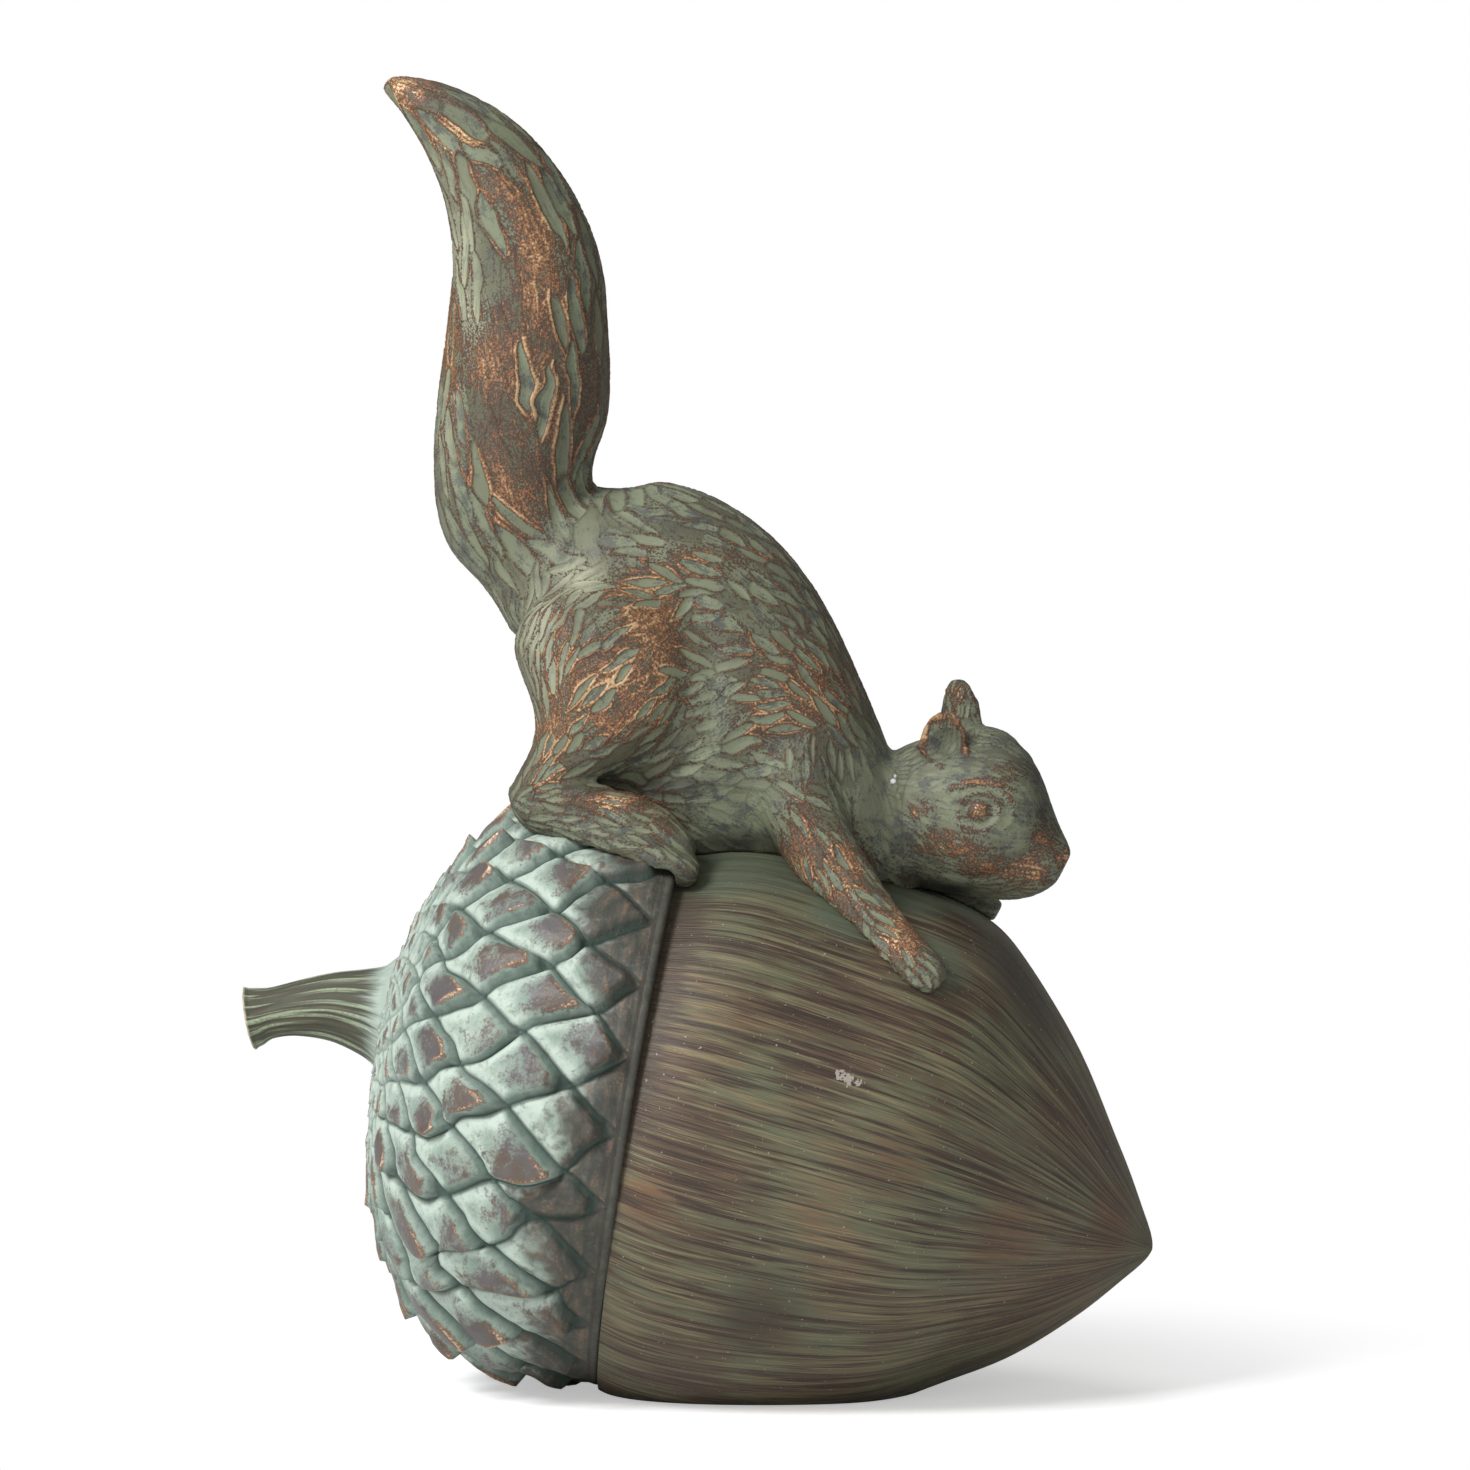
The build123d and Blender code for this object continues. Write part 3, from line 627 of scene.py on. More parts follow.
class Cast:
    """A mesh being modelled, with its points handled as one array."""

    def __init__(self, name: str, mesh: bpy.types.Mesh) -> None:
        """Link the mesh into the scene."""
        self.piece = linked(name, mesh)

    def apply(self, kind: str, **settings: Any) -> None:
        """Apply one modifier to the mesh.

        Args:
            kind: Type of the modifier.
            settings: Its properties.
        """
        modifier = self.piece.modifiers.new(kind.lower(), kind)
        for name, value in settings.items():
            setattr(modifier, name, value)
        graph = bpy.context.evaluated_depsgraph_get()
        mesh = bpy.data.meshes.new_from_object(self.piece.evaluated_get(graph), depsgraph=graph)
        self.piece.modifiers.clear()
        old = self.piece.data
        self.piece.data = mesh
        bpy.data.meshes.remove(old)

    def weigh(self, group: str, weights: Array) -> None:
        """Store weights as a vertex group, in steps of a tenth.

        Args:
            group: Name of the group.
            weights: One weight for each point.
        """
        made = self.piece.vertex_groups.new(name=group)
        steps = np.round(weights * 10).astype(int)
        for step in range(1, 11):
            made.add(np.nonzero(steps == step)[0].tolist(), step / 10, "REPLACE")

    @staticmethod
    def read(collection: Any, key: str) -> Array:
        """One row of three for each item of a collection."""
        flat = np.empty(len(collection) * 3)
        collection.foreach_get(key, flat)
        return flat.reshape(-1, 3)

    @property
    def points(self) -> Array:
        """Places of the vertices."""
        return self.read(self.piece.data.vertices, "co")

    @points.setter
    def points(self, places: Array) -> None:
        """Move the vertices."""
        self.piece.data.vertices.foreach_set("co", places.ravel())
        self.piece.data.update()

    @property
    def normals(self) -> Array:
        """Normals of the vertices."""
        return self.read(self.piece.data.vertex_normals, "vector")

    def tree(self) -> BVHTree:
        """Search tree over the faces."""
        return BVHTree.FromObject(self.piece, bpy.context.evaluated_depsgraph_get())


def store(mesh: bpy.types.Mesh, name: str, values: Array) -> None:
    """Keep one number or vector for each point of a mesh.

    Args:
        mesh: Mesh to write to.
        name: Name that the shader asks for.
        values: One number or one row of three for each vertex.
    """
    kind, key = ("FLOAT", "value") if values.ndim == 1 else ("FLOAT_VECTOR", "vector")
    made = mesh.attributes.new(name, kind, "POINT")
    made.data.foreach_set(key, values.astype(np.float32).ravel())


def store_rings(mesh: bpy.types.Mesh, name: str, rings: Array, rest: float = 0.0) -> None:
    """Keep values given by ring and by place around it.

    Args:
        mesh: Mesh to write to, its two closing points last.
        name: Name that the shader asks for.
        rings: One number or vector for each point of the rings.
        rest: Value at the last closing point.
    """
    rows = rings.reshape(-1, *rings.shape[2:])
    ends = np.zeros((2, *rows.shape[1:]))
    ends[1] = rest
    store(mesh, name, np.concatenate([rows, ends]))


def hand_over(name: str, mesh: bpy.types.Mesh, finish: Finish, node: str) -> None:
    """Put a dressed piece in place of its CAD node.

    Args:
        name: Name of the piece.
        mesh: Its mesh.
        finish: Its finish.
        node: CAD node that it stands for.
    """
    piece = linked(name, mesh)
    finish.dress(piece)
    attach(piece, "root")
    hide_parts(node)
    log.info("%s: %d faces", name, len(mesh.polygons))


def belts(index: Array) -> list[list[int]]:
    """Four-sided faces between rings of point numbers."""
    after = np.roll(index, -1, axis=1)
    return np.stack([index[:-1], after[:-1], after[1:], index[1:]], axis=-1).reshape(-1, 4).tolist()


def fan(ring: Array, tip: int) -> list[list[int]]:
    """Triangles from a ring to one point."""
    return [[int(a), int(b), tip] for a, b in zip(ring, np.roll(ring, -1))]


def closed_mesh(name: str, rings: Array, ends: Sequence[Array], faces: list[list[int]]) -> bpy.types.Mesh:
    """Smooth mesh with its faces turned outward.

    Args:
        name: Name of the mesh.
        rings: Points by ring and by place around it.
        ends: The two points that close it, numbered after the rings.
        faces: Numbers of the points of each face.

    Returns:
        The mesh.
    """
    mesh = bpy.data.meshes.new(name)
    mesh.from_pydata(np.concatenate([rings.reshape(-1, 3), ends]).tolist(), [], faces)
    tidy = bmesh.new()
    tidy.from_mesh(mesh)
    bmesh.ops.recalc_face_normals(tidy, faces=tidy.faces[:])
    tidy.to_mesh(mesh)
    tidy.free()
    mesh.shade_smooth()
    return mesh


@dataclass(frozen=True)
class Acorn:
    """Sizes of the acorn, in millimetres, as the CAD has them."""

    nut_radius: float = 100.3
    rim_back: float = 37.7
    foot_cut: float = 2.1
    foot_height: float = 0.5
    nut_tilt: float = math.radians(15.65)
    cap_tilt: float = math.radians(9.0)
    cap_depth: float = 94.0
    cap_proud: float = 2.4
    rim_share: float = 0.948
    lip_proud: float = 0.5
    lip_width: float = 4.0
    cap_wall: float = 9.5
    end_wall: float = 8.0
    cap_gap: float = 0.3
    stem_offset: float = 16.6
    stem_length: float = 45.0
    power: float = 3.3

    @property
    def rim_centre(self) -> Array:
        """Middle of the nut's rim, in metres."""
        return np.array([-self.rim_back, 0.0, self.nut_radius - self.foot_cut]) * MM

    @property
    def nut_along(self) -> Array:
        """Direction from the rim to the nut's tip."""
        return np.array([math.cos(self.nut_tilt), 0.0, -math.sin(self.nut_tilt)])

    @property
    def cap_out(self) -> Array:
        """Direction from the rim to the cap's pole."""
        return np.array([-math.cos(self.cap_tilt), 0.0, math.sin(self.cap_tilt)])

    @property
    def cap_above(self) -> Array:
        """Upward direction square to the cap's axis."""
        return np.array([math.sin(self.cap_tilt), 0.0, math.cos(self.cap_tilt)])

    @property
    def cap_radius(self) -> float:
        """Radius under the scales."""
        return self.nut_radius * self.rim_share + self.cap_proud

    @property
    def stem_seat(self) -> Array:
        """Where the stem stands on the cap, in metres."""
        return self.rim_centre + (self.cap_out * self.cap_depth + self.cap_above * self.stem_offset) * MM


@dataclass
class Cap:
    """Cap of the acorn: a hollow cup under overlapping scales.

    Its rows are shares of the dome's depth at which scales start. Rises and dents are in
    millimetres, drifts in scales, and a cloud is the size of its lumps and its seed.
    """

    acorn: Acorn = Acorn()
    scales_around: int = 24
    steps: int = 16
    rows: tuple[float, ...] = (
        0.0426, 0.214, 0.420, 0.605, 0.762, 0.868, 0.918, 0.947, 0.966, 0.978, 0.986, 0.993,
    )
    scale_rise: float = 7.4
    tallness: tuple[float, float] = (0.70, 0.55)
    lean: float = 0.45
    cut: tuple[float, float] = (0.02, 0.20)
    bevel: float = 0.118
    first_rise: float = 0.42
    first_tone: float = 0.45
    worn_rows: tuple[float, float] = (3.0, 7.0)
    worn_off: float = 0.45
    sink: float = 0.5
    swell: float = 1.5
    swell_turn: tuple[float, float] = (1.15, 0.80)
    drift: float = 0.75
    fine_drift: float = 0.24
    lump: float = 0.6
    dent: float = 1.1
    clouds: tuple[tuple[float, int], ...] = ((22, 11), (22, 12), (9, 16), (9, 17), (3.2, 13), (7.5, 14))
    key_step: int = 97

    def reach(self, share: Array) -> Array:
        """Radius of the dome at a share of its depth."""
        return self.acorn.cap_radius * np.sqrt(np.maximum(1 - share ** self.acorn.power, 0.0))

    def share(self, level: Array) -> Array:
        """Share of the dome's depth at a level of the scales."""
        return np.interp(level, np.arange(len(self.rows)), self.rows)

    def point(self, share: Array, azimuth: Array, rise: Array) -> Array:
        """Point of the outside, its rows gathered round the stem.

        Args:
            share: Share of the dome's depth.
            azimuth: Angle about the cap's axis from the top.
            rise: Height over the dome, in millimetres.

        Returns:
            The point, in metres.
        """
        acorn = self.acorn
        radius = acorn.cap_radius
        lip_reach = self.reach(np.array(acorn.lip_width / acorn.cap_depth))
        reach = self.reach(share)
        lift = acorn.stem_offset * np.maximum(0.0, 1 - (reach / lip_reach) ** 2)
        upward = reach * np.cos(azimuth) + lift
        across = reach * np.sin(azimuth)
        far = np.minimum(np.hypot(upward, across) / radius, 1.0)
        station = acorn.cap_depth * (1 - far ** 2) ** (1 / acorn.power)
        wide = 1 + rise / radius
        deep = 1 + rise / acorn.cap_depth
        return acorn.rim_centre + MM * (
            (station * deep)[..., None] * acorn.cap_out
            + (upward * wide)[..., None] * acorn.cap_above
            + (across * wide)[..., None] * SIDEWAYS
        )

    def inside(self, count: int) -> tuple[Array, Array]:
        """Lip and hollow of the cap.

        Args:
            count: Number of points of a ring.

        Returns:
            Rings from the outer edge of the lip inward, and the hollow's deepest point, in metres.
        """
        acorn = self.acorn
        lip = acorn.cap_radius + acorn.lip_proud
        hollow = acorn.cap_radius - acorn.cap_wall + acorn.cap_gap
        depth = acorn.cap_depth - acorn.end_wall + acorn.cap_gap
        rows = [(2.6, lip - 0.2), (1.6, lip), (0.8, lip - 0.2), (0.0, lip - 0.8),
                (0.0, hollow + 0.4), (0.4, hollow)]
        rows += [(depth * part, hollow * math.sqrt(1 - part ** acorn.power))
                 for part in (0.2, 0.4, 0.6, 0.75, 0.87, 0.95, 0.99)]
        azimuth = np.arange(count) * 2 * math.pi / count
        spoke = np.cos(azimuth)[:, None] * acorn.cap_above + np.sin(azimuth)[:, None] * SIDEWAYS
        rings = [acorn.cap_out * station + spoke * radius for station, radius in rows]
        return acorn.rim_centre + np.array(rings) * MM, acorn.rim_centre + acorn.cap_out * depth * MM

    def faces(self, outer: Array) -> list[list[int]]:
        """Join staggered rings, with edges along the sides of the scales.

        Args:
            outer: Point numbers by ring and by place around it.

        Returns:
            The triangles.
        """
        made = []
        for level in range(len(outer) - 1):
            low, high = outer[level], outer[level + 1]
            low_after, high_after = np.roll(low, -1), np.roll(high, -1)
            up, down = (high_after, low) if level % 2 else (high, low_after)
            made += np.stack([low, low_after, up], axis=1).tolist()
            made += np.stack([high, high_after, down], axis=1).tolist()
        return made

    def build(self) -> None:
        """Build the cap and put it in place of its CAD solid."""
        acorn = self.acorn
        rng = np.random.default_rng(SEED)
        across = self.scales_around * self.steps
        top = (len(self.rows) - 1) * self.steps
        turn = math.pi / self.scales_around
        level, number = np.meshgrid(np.arange(top + 1), np.arange(across), indexing="ij")
        shifted = 2 * number + level % 2
        x, y = shifted / self.steps, level / self.steps
        s, t = (level + shifted) // 2, (level - shifted) // 2
        cell_s, cell_t = s // self.steps, t // self.steps
        a, b = s % self.steps / self.steps, t % self.steps / self.steps
        row = cell_s + cell_t + 1
        key = row * self.key_step + np.mod(cell_s - cell_t, 2 * self.scales_around)
        key = key - key.min()
        tone = rng.random(key.max() + 1)[key]
        lean = rng.uniform(-self.lean, self.lean, key.max() + 1)[key]
        cut = rng.uniform(*self.cut, key.max() + 1)[key]

        bare = self.point(self.share(y), x * turn, np.zeros(x.shape)).reshape(-1, 3)
        fade = smoothstep(0.0, 1.2, y) * (1.0 - smoothstep(9.5, 11.0, y))
        noise = [lattice_noise(bare, cell * MM, seed).reshape(x.shape) - 0.5
                 for cell, seed in self.clouds]
        moved_x = x + (self.drift * noise[0] + self.fine_drift * noise[2]) * fade
        moved_y = y + (self.drift * noise[1] + self.fine_drift * noise[3]) * fade
        size = (self.reach(self.share(y)) / acorn.cap_radius) ** 0.9
        drop = np.minimum(np.minimum(a, b), np.maximum(0.80 * (a + b) - cut, 0.0))
        body = ((1 - a) * (1 - b)) ** 0.5 * (1 + lean * (a - b))
        least, more = self.tallness
        tall = self.scale_rise * size * (least + more * tone) * np.where(row < 1, self.first_rise, 1.0)
        tall = tall * (1.0 - self.worn_off * smoothstep(*self.worn_rows, y))
        rise = tall * smoothstep(0.0, self.bevel, drop) * body
        level_swell, top_swell = self.swell_turn
        swell = self.swell * smoothstep(0.8, 3.0, y) * (level_swell + top_swell * np.cos(x * turn))
        rise = rise + swell - self.sink + self.lump * noise[4] + self.dent * noise[5]
        rise = rise * smoothstep(-0.05, 0.30, y)
        outer = self.point(self.share(moved_y), moved_x * turn, rise)

        pole = self.point(np.array(1.0), np.array(0.0), np.array(0.0))
        inside, inner_pole = self.inside(across)
        rings = np.concatenate([outer, inside])
        rings[..., 2] = np.maximum(rings[..., 2], acorn.foot_height * MM)
        index = np.arange(rings.shape[0] * across).reshape(-1, across)
        faces = self.faces(index[: top + 1]) + belts(np.concatenate([index[:1], index[top + 1:]]))
        faces += fan(index[top], index.size) + fan(index[-1], index.size + 1)
        mesh = closed_mesh("cap", rings, [pole, inner_pole], faces)
        held = np.where(row < 1, self.first_tone, 1.0)
        worn = {
            "tip": (smoothstep(0.12, 0.70, body) * smoothstep(0.05, 0.12, drop) * held, 0.0),
            # Painted shade on the steep faces where the scales drop.
            "crevice_shade": ((1.0 - smoothstep(0.02, 0.10, drop)) * smoothstep(0.0, 0.3, y), 0.0),
            "valley": (smoothstep(0.70, 0.93, np.maximum(a, b)) * smoothstep(0.08, 0.2, drop) * held, 0.0),
            "tone": (tone, 0.5),
            "edge": (np.exp(-((drop - 0.130) / 0.032) ** 2) * smoothstep(0.45, 0.80, body) * held, 0.0),
            # Rim rows, lip and inside: where the painted shade is laid.
            "rim": (1.0 - smoothstep(0.40, 2.0, y + (tone - 0.5) * 0.9), 1.0),
            "crown": (smoothstep(3.4, 7.5, y), 0.0),
        }
        spare = np.zeros((len(inside), across))
        for name, (values, rest) in worn.items():
            store_rings(mesh, name, np.concatenate([values, spare + rest]), rest)
        grain = np.stack([x * 1.3, y * 5.0, key * 0.37], axis=-1)
        store_rings(mesh, "grain", np.concatenate([grain, np.zeros((*spare.shape, 3))]))
        hand_over("cap", mesh, CapPatina(), "cap_shell")


@dataclass
class Stem:
    """Cut stem on the cap, grooved along its length.

    A row of its shape holds the places of top and bottom and half the width, as shares of the
    length. The inset rings close the cut end: their share of its size and their depth in
    millimetres.
    """

    acorn: Acorn = Acorn()
    around: int = 120
    along: int = 90
    slim: float = 0.96
    ridge: float = 0.10
    flare: float = 0.04
    waves_around: float = 9.0
    waves_along: float = 2.2
    rows: tuple[tuple[float, ...], ...] = (
        (0.160, 0.470, 0.160, -0.600, 0.470),
        (0.040, 0.400, 0.020, -0.520, 0.410),
        (-0.030, 0.360, -0.070, -0.430, 0.350),
        (-0.190, 0.335, -0.200, -0.310, 0.290),
        (-0.415, 0.312, -0.420, -0.205, 0.255),
        (-0.660, 0.262, -0.660, -0.170, 0.228),
        (-0.885, 0.205, -0.870, -0.185, 0.210),
        (-1.020, 0.190, -0.960, -0.232, 0.222),
        (-1.110, 0.190, -1.025, -0.262, 0.228),
    )
    inset: tuple[tuple[float, float], ...] = (
        (0.93, -0.25), (0.84, 0.10), (0.74, 0.9), (0.45, 1.7), (0.2, 2.1),
    )
    hollow: float = 2.2

    def build(self) -> None:
        """Build the stem and put it in place of its CAD solid."""
        table = np.array(self.rows)
        station = np.linspace(0, len(table) - 1, self.along)
        fine = np.stack([self.glide(station, table[:, k]) for k in range(5)], axis=1)
        size = self.acorn.stem_length * MM
        seat = self.acorn.stem_seat
        top, bottom = (
            seat + np.stack([fine[:, k], 0 * station, fine[:, k + 1]], axis=1) * size for k in (0, 2)
        )
        azimuth = np.arange(self.around) * 2 * math.pi / self.around
        circle = np.stack([np.cos(azimuth), np.sin(azimuth)], axis=1)
        span = station[:, None] / station[-1]
        spokes = circle * self.waves_around
        wave = np.stack(
            np.broadcast_arrays(spokes[:, 0], spokes[:, 1], span * self.waves_along), axis=-1
        )
        carved = lattice_noise(wave.reshape(-1, 3), 1.0, 5).reshape(wave.shape[:2])
        ridged = np.abs(carved - 0.5) * 2.0
        swell = self.slim + self.ridge * ridged + self.flare * smoothstep(0.93, 1.0, span)
        middle = ((top + bottom) / 2)[:, None]
        tall = ((top - bottom) / 2)[:, None]
        wide = (fine[:, 4] * size)[:, None, None] * SIDEWAYS
        rings = middle + (tall * circle[:, :1] + wide * circle[:, 1:]) * swell[..., None]
        face = unit(top[-1] - bottom[-1])
        out = np.array([-face[2], 0.0, face[0]])
        last = rings[-1]
        centre = last.mean(axis=0)
        inset = [centre + (last - centre) * share - out * depth * MM for share, depth in self.inset]
        rings = np.concatenate([rings, inset])
        index = np.arange(rings.shape[0] * self.around).reshape(-1, self.around)
        faces = belts(index) + fan(index[0], index.size) + fan(index[-1], index.size + 1)
        mesh = closed_mesh("stem_bark", rings, [middle[0, 0], centre - out * self.hollow * MM], faces)
        spare = np.zeros((len(inset), self.around))
        worn = {
            "groove": (1.0 - ridged, spare + 0.7),
            "root": (1.0 - smoothstep(0.12, 0.5, span), spare),
            "edge": (smoothstep(0.975, 1.0, span) * 0.8, np.array([[1.0, 0.8, 0.2, 0.0, 0.0]]).T + spare),
        }
        for name, (values, ends) in worn.items():
            store_rings(mesh, name, np.concatenate([np.broadcast_to(values, ridged.shape), ends]))
        grain = np.concatenate([wave * np.array([1.6, 1.6, 1.5]), np.zeros((*spare.shape, 3))])
        store_rings(mesh, "grain", grain)
        hand_over("stem_bark", mesh, StemPatina(), "stem")

    @staticmethod
    def glide(places: Array, values: Array) -> Array:
        """Read a smooth curve.

        Args:
            places: Where it is read, with the values at 0, 1, 2 and so on.
            values: Values that it goes through.

        Returns:
            One value for each place.
        """
        padded = np.concatenate([[2 * values[0] - values[1]], values, [2 * values[-1] - values[-2]]])
        base = np.clip(np.floor(places).astype(int), 0, len(values) - 2)
        share = places - base
        a, b, c, d = (padded[base + k] for k in range(4))
        return 0.5 * (
            2 * b + (c - a) * share + (2 * a - 5 * b + 4 * c - d) * share ** 2
            + (3 * b - a - 3 * c + d) * share ** 3
        )


class Tint(Enum):
    """What a painted patch adds to the patina: rubbed copper, painted shade and pale lime."""

    COPPER = 0
    PAINTED_SHADE = 1
    LIME = 2


@dataclass(frozen=True)
class Patch:
    """Soft spot at a pixel of the photograph, with its width and height in pixels."""

    column: float
    row: float
    width: float
    height: float
    amount: float

    def strength(self, columns: Array, rows: Array) -> Array:
        """How much of the patch each point takes."""
        away = ((columns - self.column) / self.width) ** 2 + ((rows - self.row) / self.height) ** 2
        return self.amount * np.exp(-away)


@dataclass(frozen=True)
class FlowLine:
    """Line along which the fur lies, with the size of its locks in millimetres."""

    pixels: Pixels
    length: float
    width: float
    relief: float


@dataclass(frozen=True)
class Stroke:
    """Groove or ridge along a line of the photograph, in millimetres, on both sides or one."""

    pixels: Pixels
    width: float
    rise: float
    both: bool = True


@dataclass(frozen=True)
class Boss:
    """Rounded rise or hollow at a pixel of the photograph, in millimetres, on both sides or one."""

    column: float
    row: float
    radius: float
    rise: float
    both: bool = True


def arc(column: float, row: float, wide: float, tall: float, start: float, end: float) -> Pixels:
    """Pixels along part of an ellipse, its angles in degrees from the right and upward."""
    turns = np.radians(np.linspace(start, end, 15))
    return tuple((column + wide * math.cos(a), row - tall * math.sin(a)) for a in turns)


def add_flesh(skin: bmesh.types.BMesh, bulk: Sequence[Blot]) -> None:
    """Add a rounded bulk and its mirror image to a mesh.

    Args:
        skin: Mesh to add to.
        bulk: Columns and rows along its middle, with depths and radii in millimetres.
    """
    rows = np.array(bulk)
    for share in np.linspace(0, len(rows) - 1, 6 * (len(rows) - 1) + 1):
        column, row, depth, radius = (np.interp(share, np.arange(len(rows)), rows[:, k]) for k in range(4))
        middle = PHOTO.at(column, row, depth)
        for side in (1.0, -1.0):
            place = Matrix.Translation((middle[0], middle[1] * side, middle[2]))
            bmesh.ops.create_icosphere(skin, subdivisions=3, radius=radius * MM, matrix=place)


FLESH = (
    ((572, 802, -37, 7.5), (600, 808, -38, 8.2), (630, 818, -40, 8.5), (655, 832, -41, 8.0),
     (676, 848, -42, 7.0)),
    ((895, 778, -14, 5.0), (897, 800, -17, 5.0), (899, 830, -17.3, 5.0), (901, 860, -14.3, 5.0),
     (903, 880, -8.6, 5.0)),
    ((975, 766, -5, 14.0), (986, 768, -5, 14.0), (998, 762, -4, 9.2), (1010, 772, -4, 9.0)),
)

FLOW = tuple(FlowLine(*row) for row in (
    (((890, 790), (840, 720), (780, 640), (700, 570), (620, 545), (560, 565)), 12.5, 5.2, 0.62),
    (((880, 850), (830, 800), (760, 775), (700, 780)), 11.0, 4.4, 0.45),
    (((855, 735), (800, 712), (745, 715), (705, 735)), 11.5, 4.4, 0.60),
    (((852, 705), (800, 672), (750, 662), (712, 672)), 11.5, 4.6, 0.62),
    (((835, 665), (790, 622), (735, 602), (685, 600)), 11.5, 4.8, 0.62),
    (((700, 655), (650, 640), (600, 660)), 11.0, 4.8, 0.62),
    (((690, 600), (650, 650), (600, 710), (545, 760)), 11.0, 4.4, 0.66),
    (((560, 600), (535, 660), (535, 740), (525, 790)), 15.0, 3.2, 0.55),
    (((700, 700), (640, 760), (560, 790)), 11.0, 4.0, 0.50),
    (((525, 800), (600, 800), (660, 825), (700, 860)), 9.0, 2.8, 0.45),
    (((810, 720), (800, 800), (850, 880), (920, 970)), 11.0, 3.4, 0.62),
    (((850, 740), (860, 830), (900, 900), (940, 970)), 11.0, 3.2, 0.62),
    (((1070, 855), (1020, 862), (960, 870), (900, 850)), 7.0, 1.8, 0.20),
    (((1060, 820), (1020, 780), (970, 760), (900, 770)), 6.5, 1.9, 0.20),
    (((1050, 895), (1000, 905), (940, 895), (890, 860)), 6.5, 1.9, 0.20),
    (((958, 680), (955, 720), (950, 750)), 5.5, 1.6, 0.15),
    (((560, 565), (500, 500), (480, 430), (475, 380), (478, 300), (470, 240), (445, 180)), 24.0, 6.4, 0.90),
    (((600, 560), (590, 480), (600, 400), (605, 320), (590, 240), (550, 170)), 26.0, 7.4, 0.95),
    (((560, 540), (540, 460), (540, 380), (540, 300), (530, 240), (490, 160), (430, 110), (385, 82)),
             25.0, 7.0, 0.95),
))

CALMS = (
    (880, 800, 36, 70, 0.90), (590, 585, 42, 22, 0.55), (745, 815, 62, 42, 0.85),
    (716, 700, 16, 60, 0.75), (945, 745, 26, 30, 0.95), (990, 830, 85, 75, 0.85),
    (560, 535, 60, 22, 0.60),
)

PATCHES = {
    Tint.COPPER: (
        (396, 90, 34, 18, 1.60), (455, 140, 34, 18, 0.80), (495, 185, 34, 22, 0.70),
        (535, 235, 26, 40, 0.95), (545, 310, 24, 50, 0.85), (485, 350, 20, 34, 0.70),
        (520, 400, 44, 50, 0.58), (500, 470, 30, 50, 0.70), (530, 520, 26, 30, 0.55),
        (590, 380, 16, 60, 0.50), (450, 340, 10, 60, 0.75), (640, 600, 34, 34, 1.10),
        (655, 660, 30, 40, 1.00), (610, 690, 44, 30, 1.10), (560, 640, 22, 40, 0.60),
        (700, 560, 70, 16, 0.45), (555, 735, 18, 34, 1.00), (545, 780, 16, 18, 0.75),
        (615, 802, 40, 11, 1.05), (665, 825, 20, 14, 0.65), (620, 725, 40, 14, 0.60),
        (770, 655, 60, 50, 0.34), (775, 715, 50, 30, 0.42), (825, 695, 30, 34, 0.36),
        (530, 300, 34, 110, 0.34), (560, 420, 24, 60, 0.30), (800, 840, 22, 50, 0.85),
        (845, 870, 30, 44, 0.85), (905, 925, 22, 42, 1.10), (925, 807, 14, 10, 0.85),
        (945, 834, 26, 8, 0.75), (972, 858, 32, 20, 0.80), (1030, 872, 24, 20, 0.80),
        (1045, 835, 16, 26, 0.60), (1066, 856, 8, 12, 0.90), (978, 811, 13, 10, 1.20),
        (980, 783, 26, 4, 0.55), (915, 812, 12, 6, 0.80), (938, 848, 30, 6, 0.60),
        (985, 870, 34, 10, 0.45), (1008, 790, 10, 16, 0.40), (957, 698, 9, 18, 0.95),
        (925, 735, 5, 16, 0.70), (936, 716, 10, 6, 0.75), (954, 722, 9, 9, 0.75),
        (965, 744, 5, 12, 0.70), (1012, 770, 18, 8, 0.55),
    ),
    # Painted shade under the jaw and cheek, in the belly recess and in the creases at the thigh, neck and
    # ears, with a few darker spots on the eye, head and tail.
    Tint.PAINTED_SHADE: (
        (979, 811, 9, 8, 0.30), (990, 862, 50, 22, 0.22), (955, 889, 26, 7, 1.00),
        (925, 882, 20, 12, 0.65), (905, 850, 14, 30, 0.35), (735, 843, 40, 12, 0.95),
        (675, 785, 60, 9, 0.55), (1040, 790, 14, 50, 0.45), (943, 706, 5, 12, 0.60),
        (580, 400, 26, 60, 0.30), (530, 415, 46, 60, 0.24), (1020, 762, 20, 14, 0.50),
        (1052, 815, 12, 40, 0.35), (945, 742, 18, 16, 0.25), (590, 300, 14, 60, 0.30),
    ),
    Tint.LIME: (
        (580, 580, 30, 22, 0.85), (537, 630, 16, 50, 0.85), (556, 680, 16, 40, 0.55),
        (462, 260, 14, 70, 0.70), (475, 330, 12, 40, 0.70), (448, 430, 12, 60, 0.45),
        (640, 548, 50, 12, 0.25), (440, 180, 12, 30, 0.40),
    ),
}

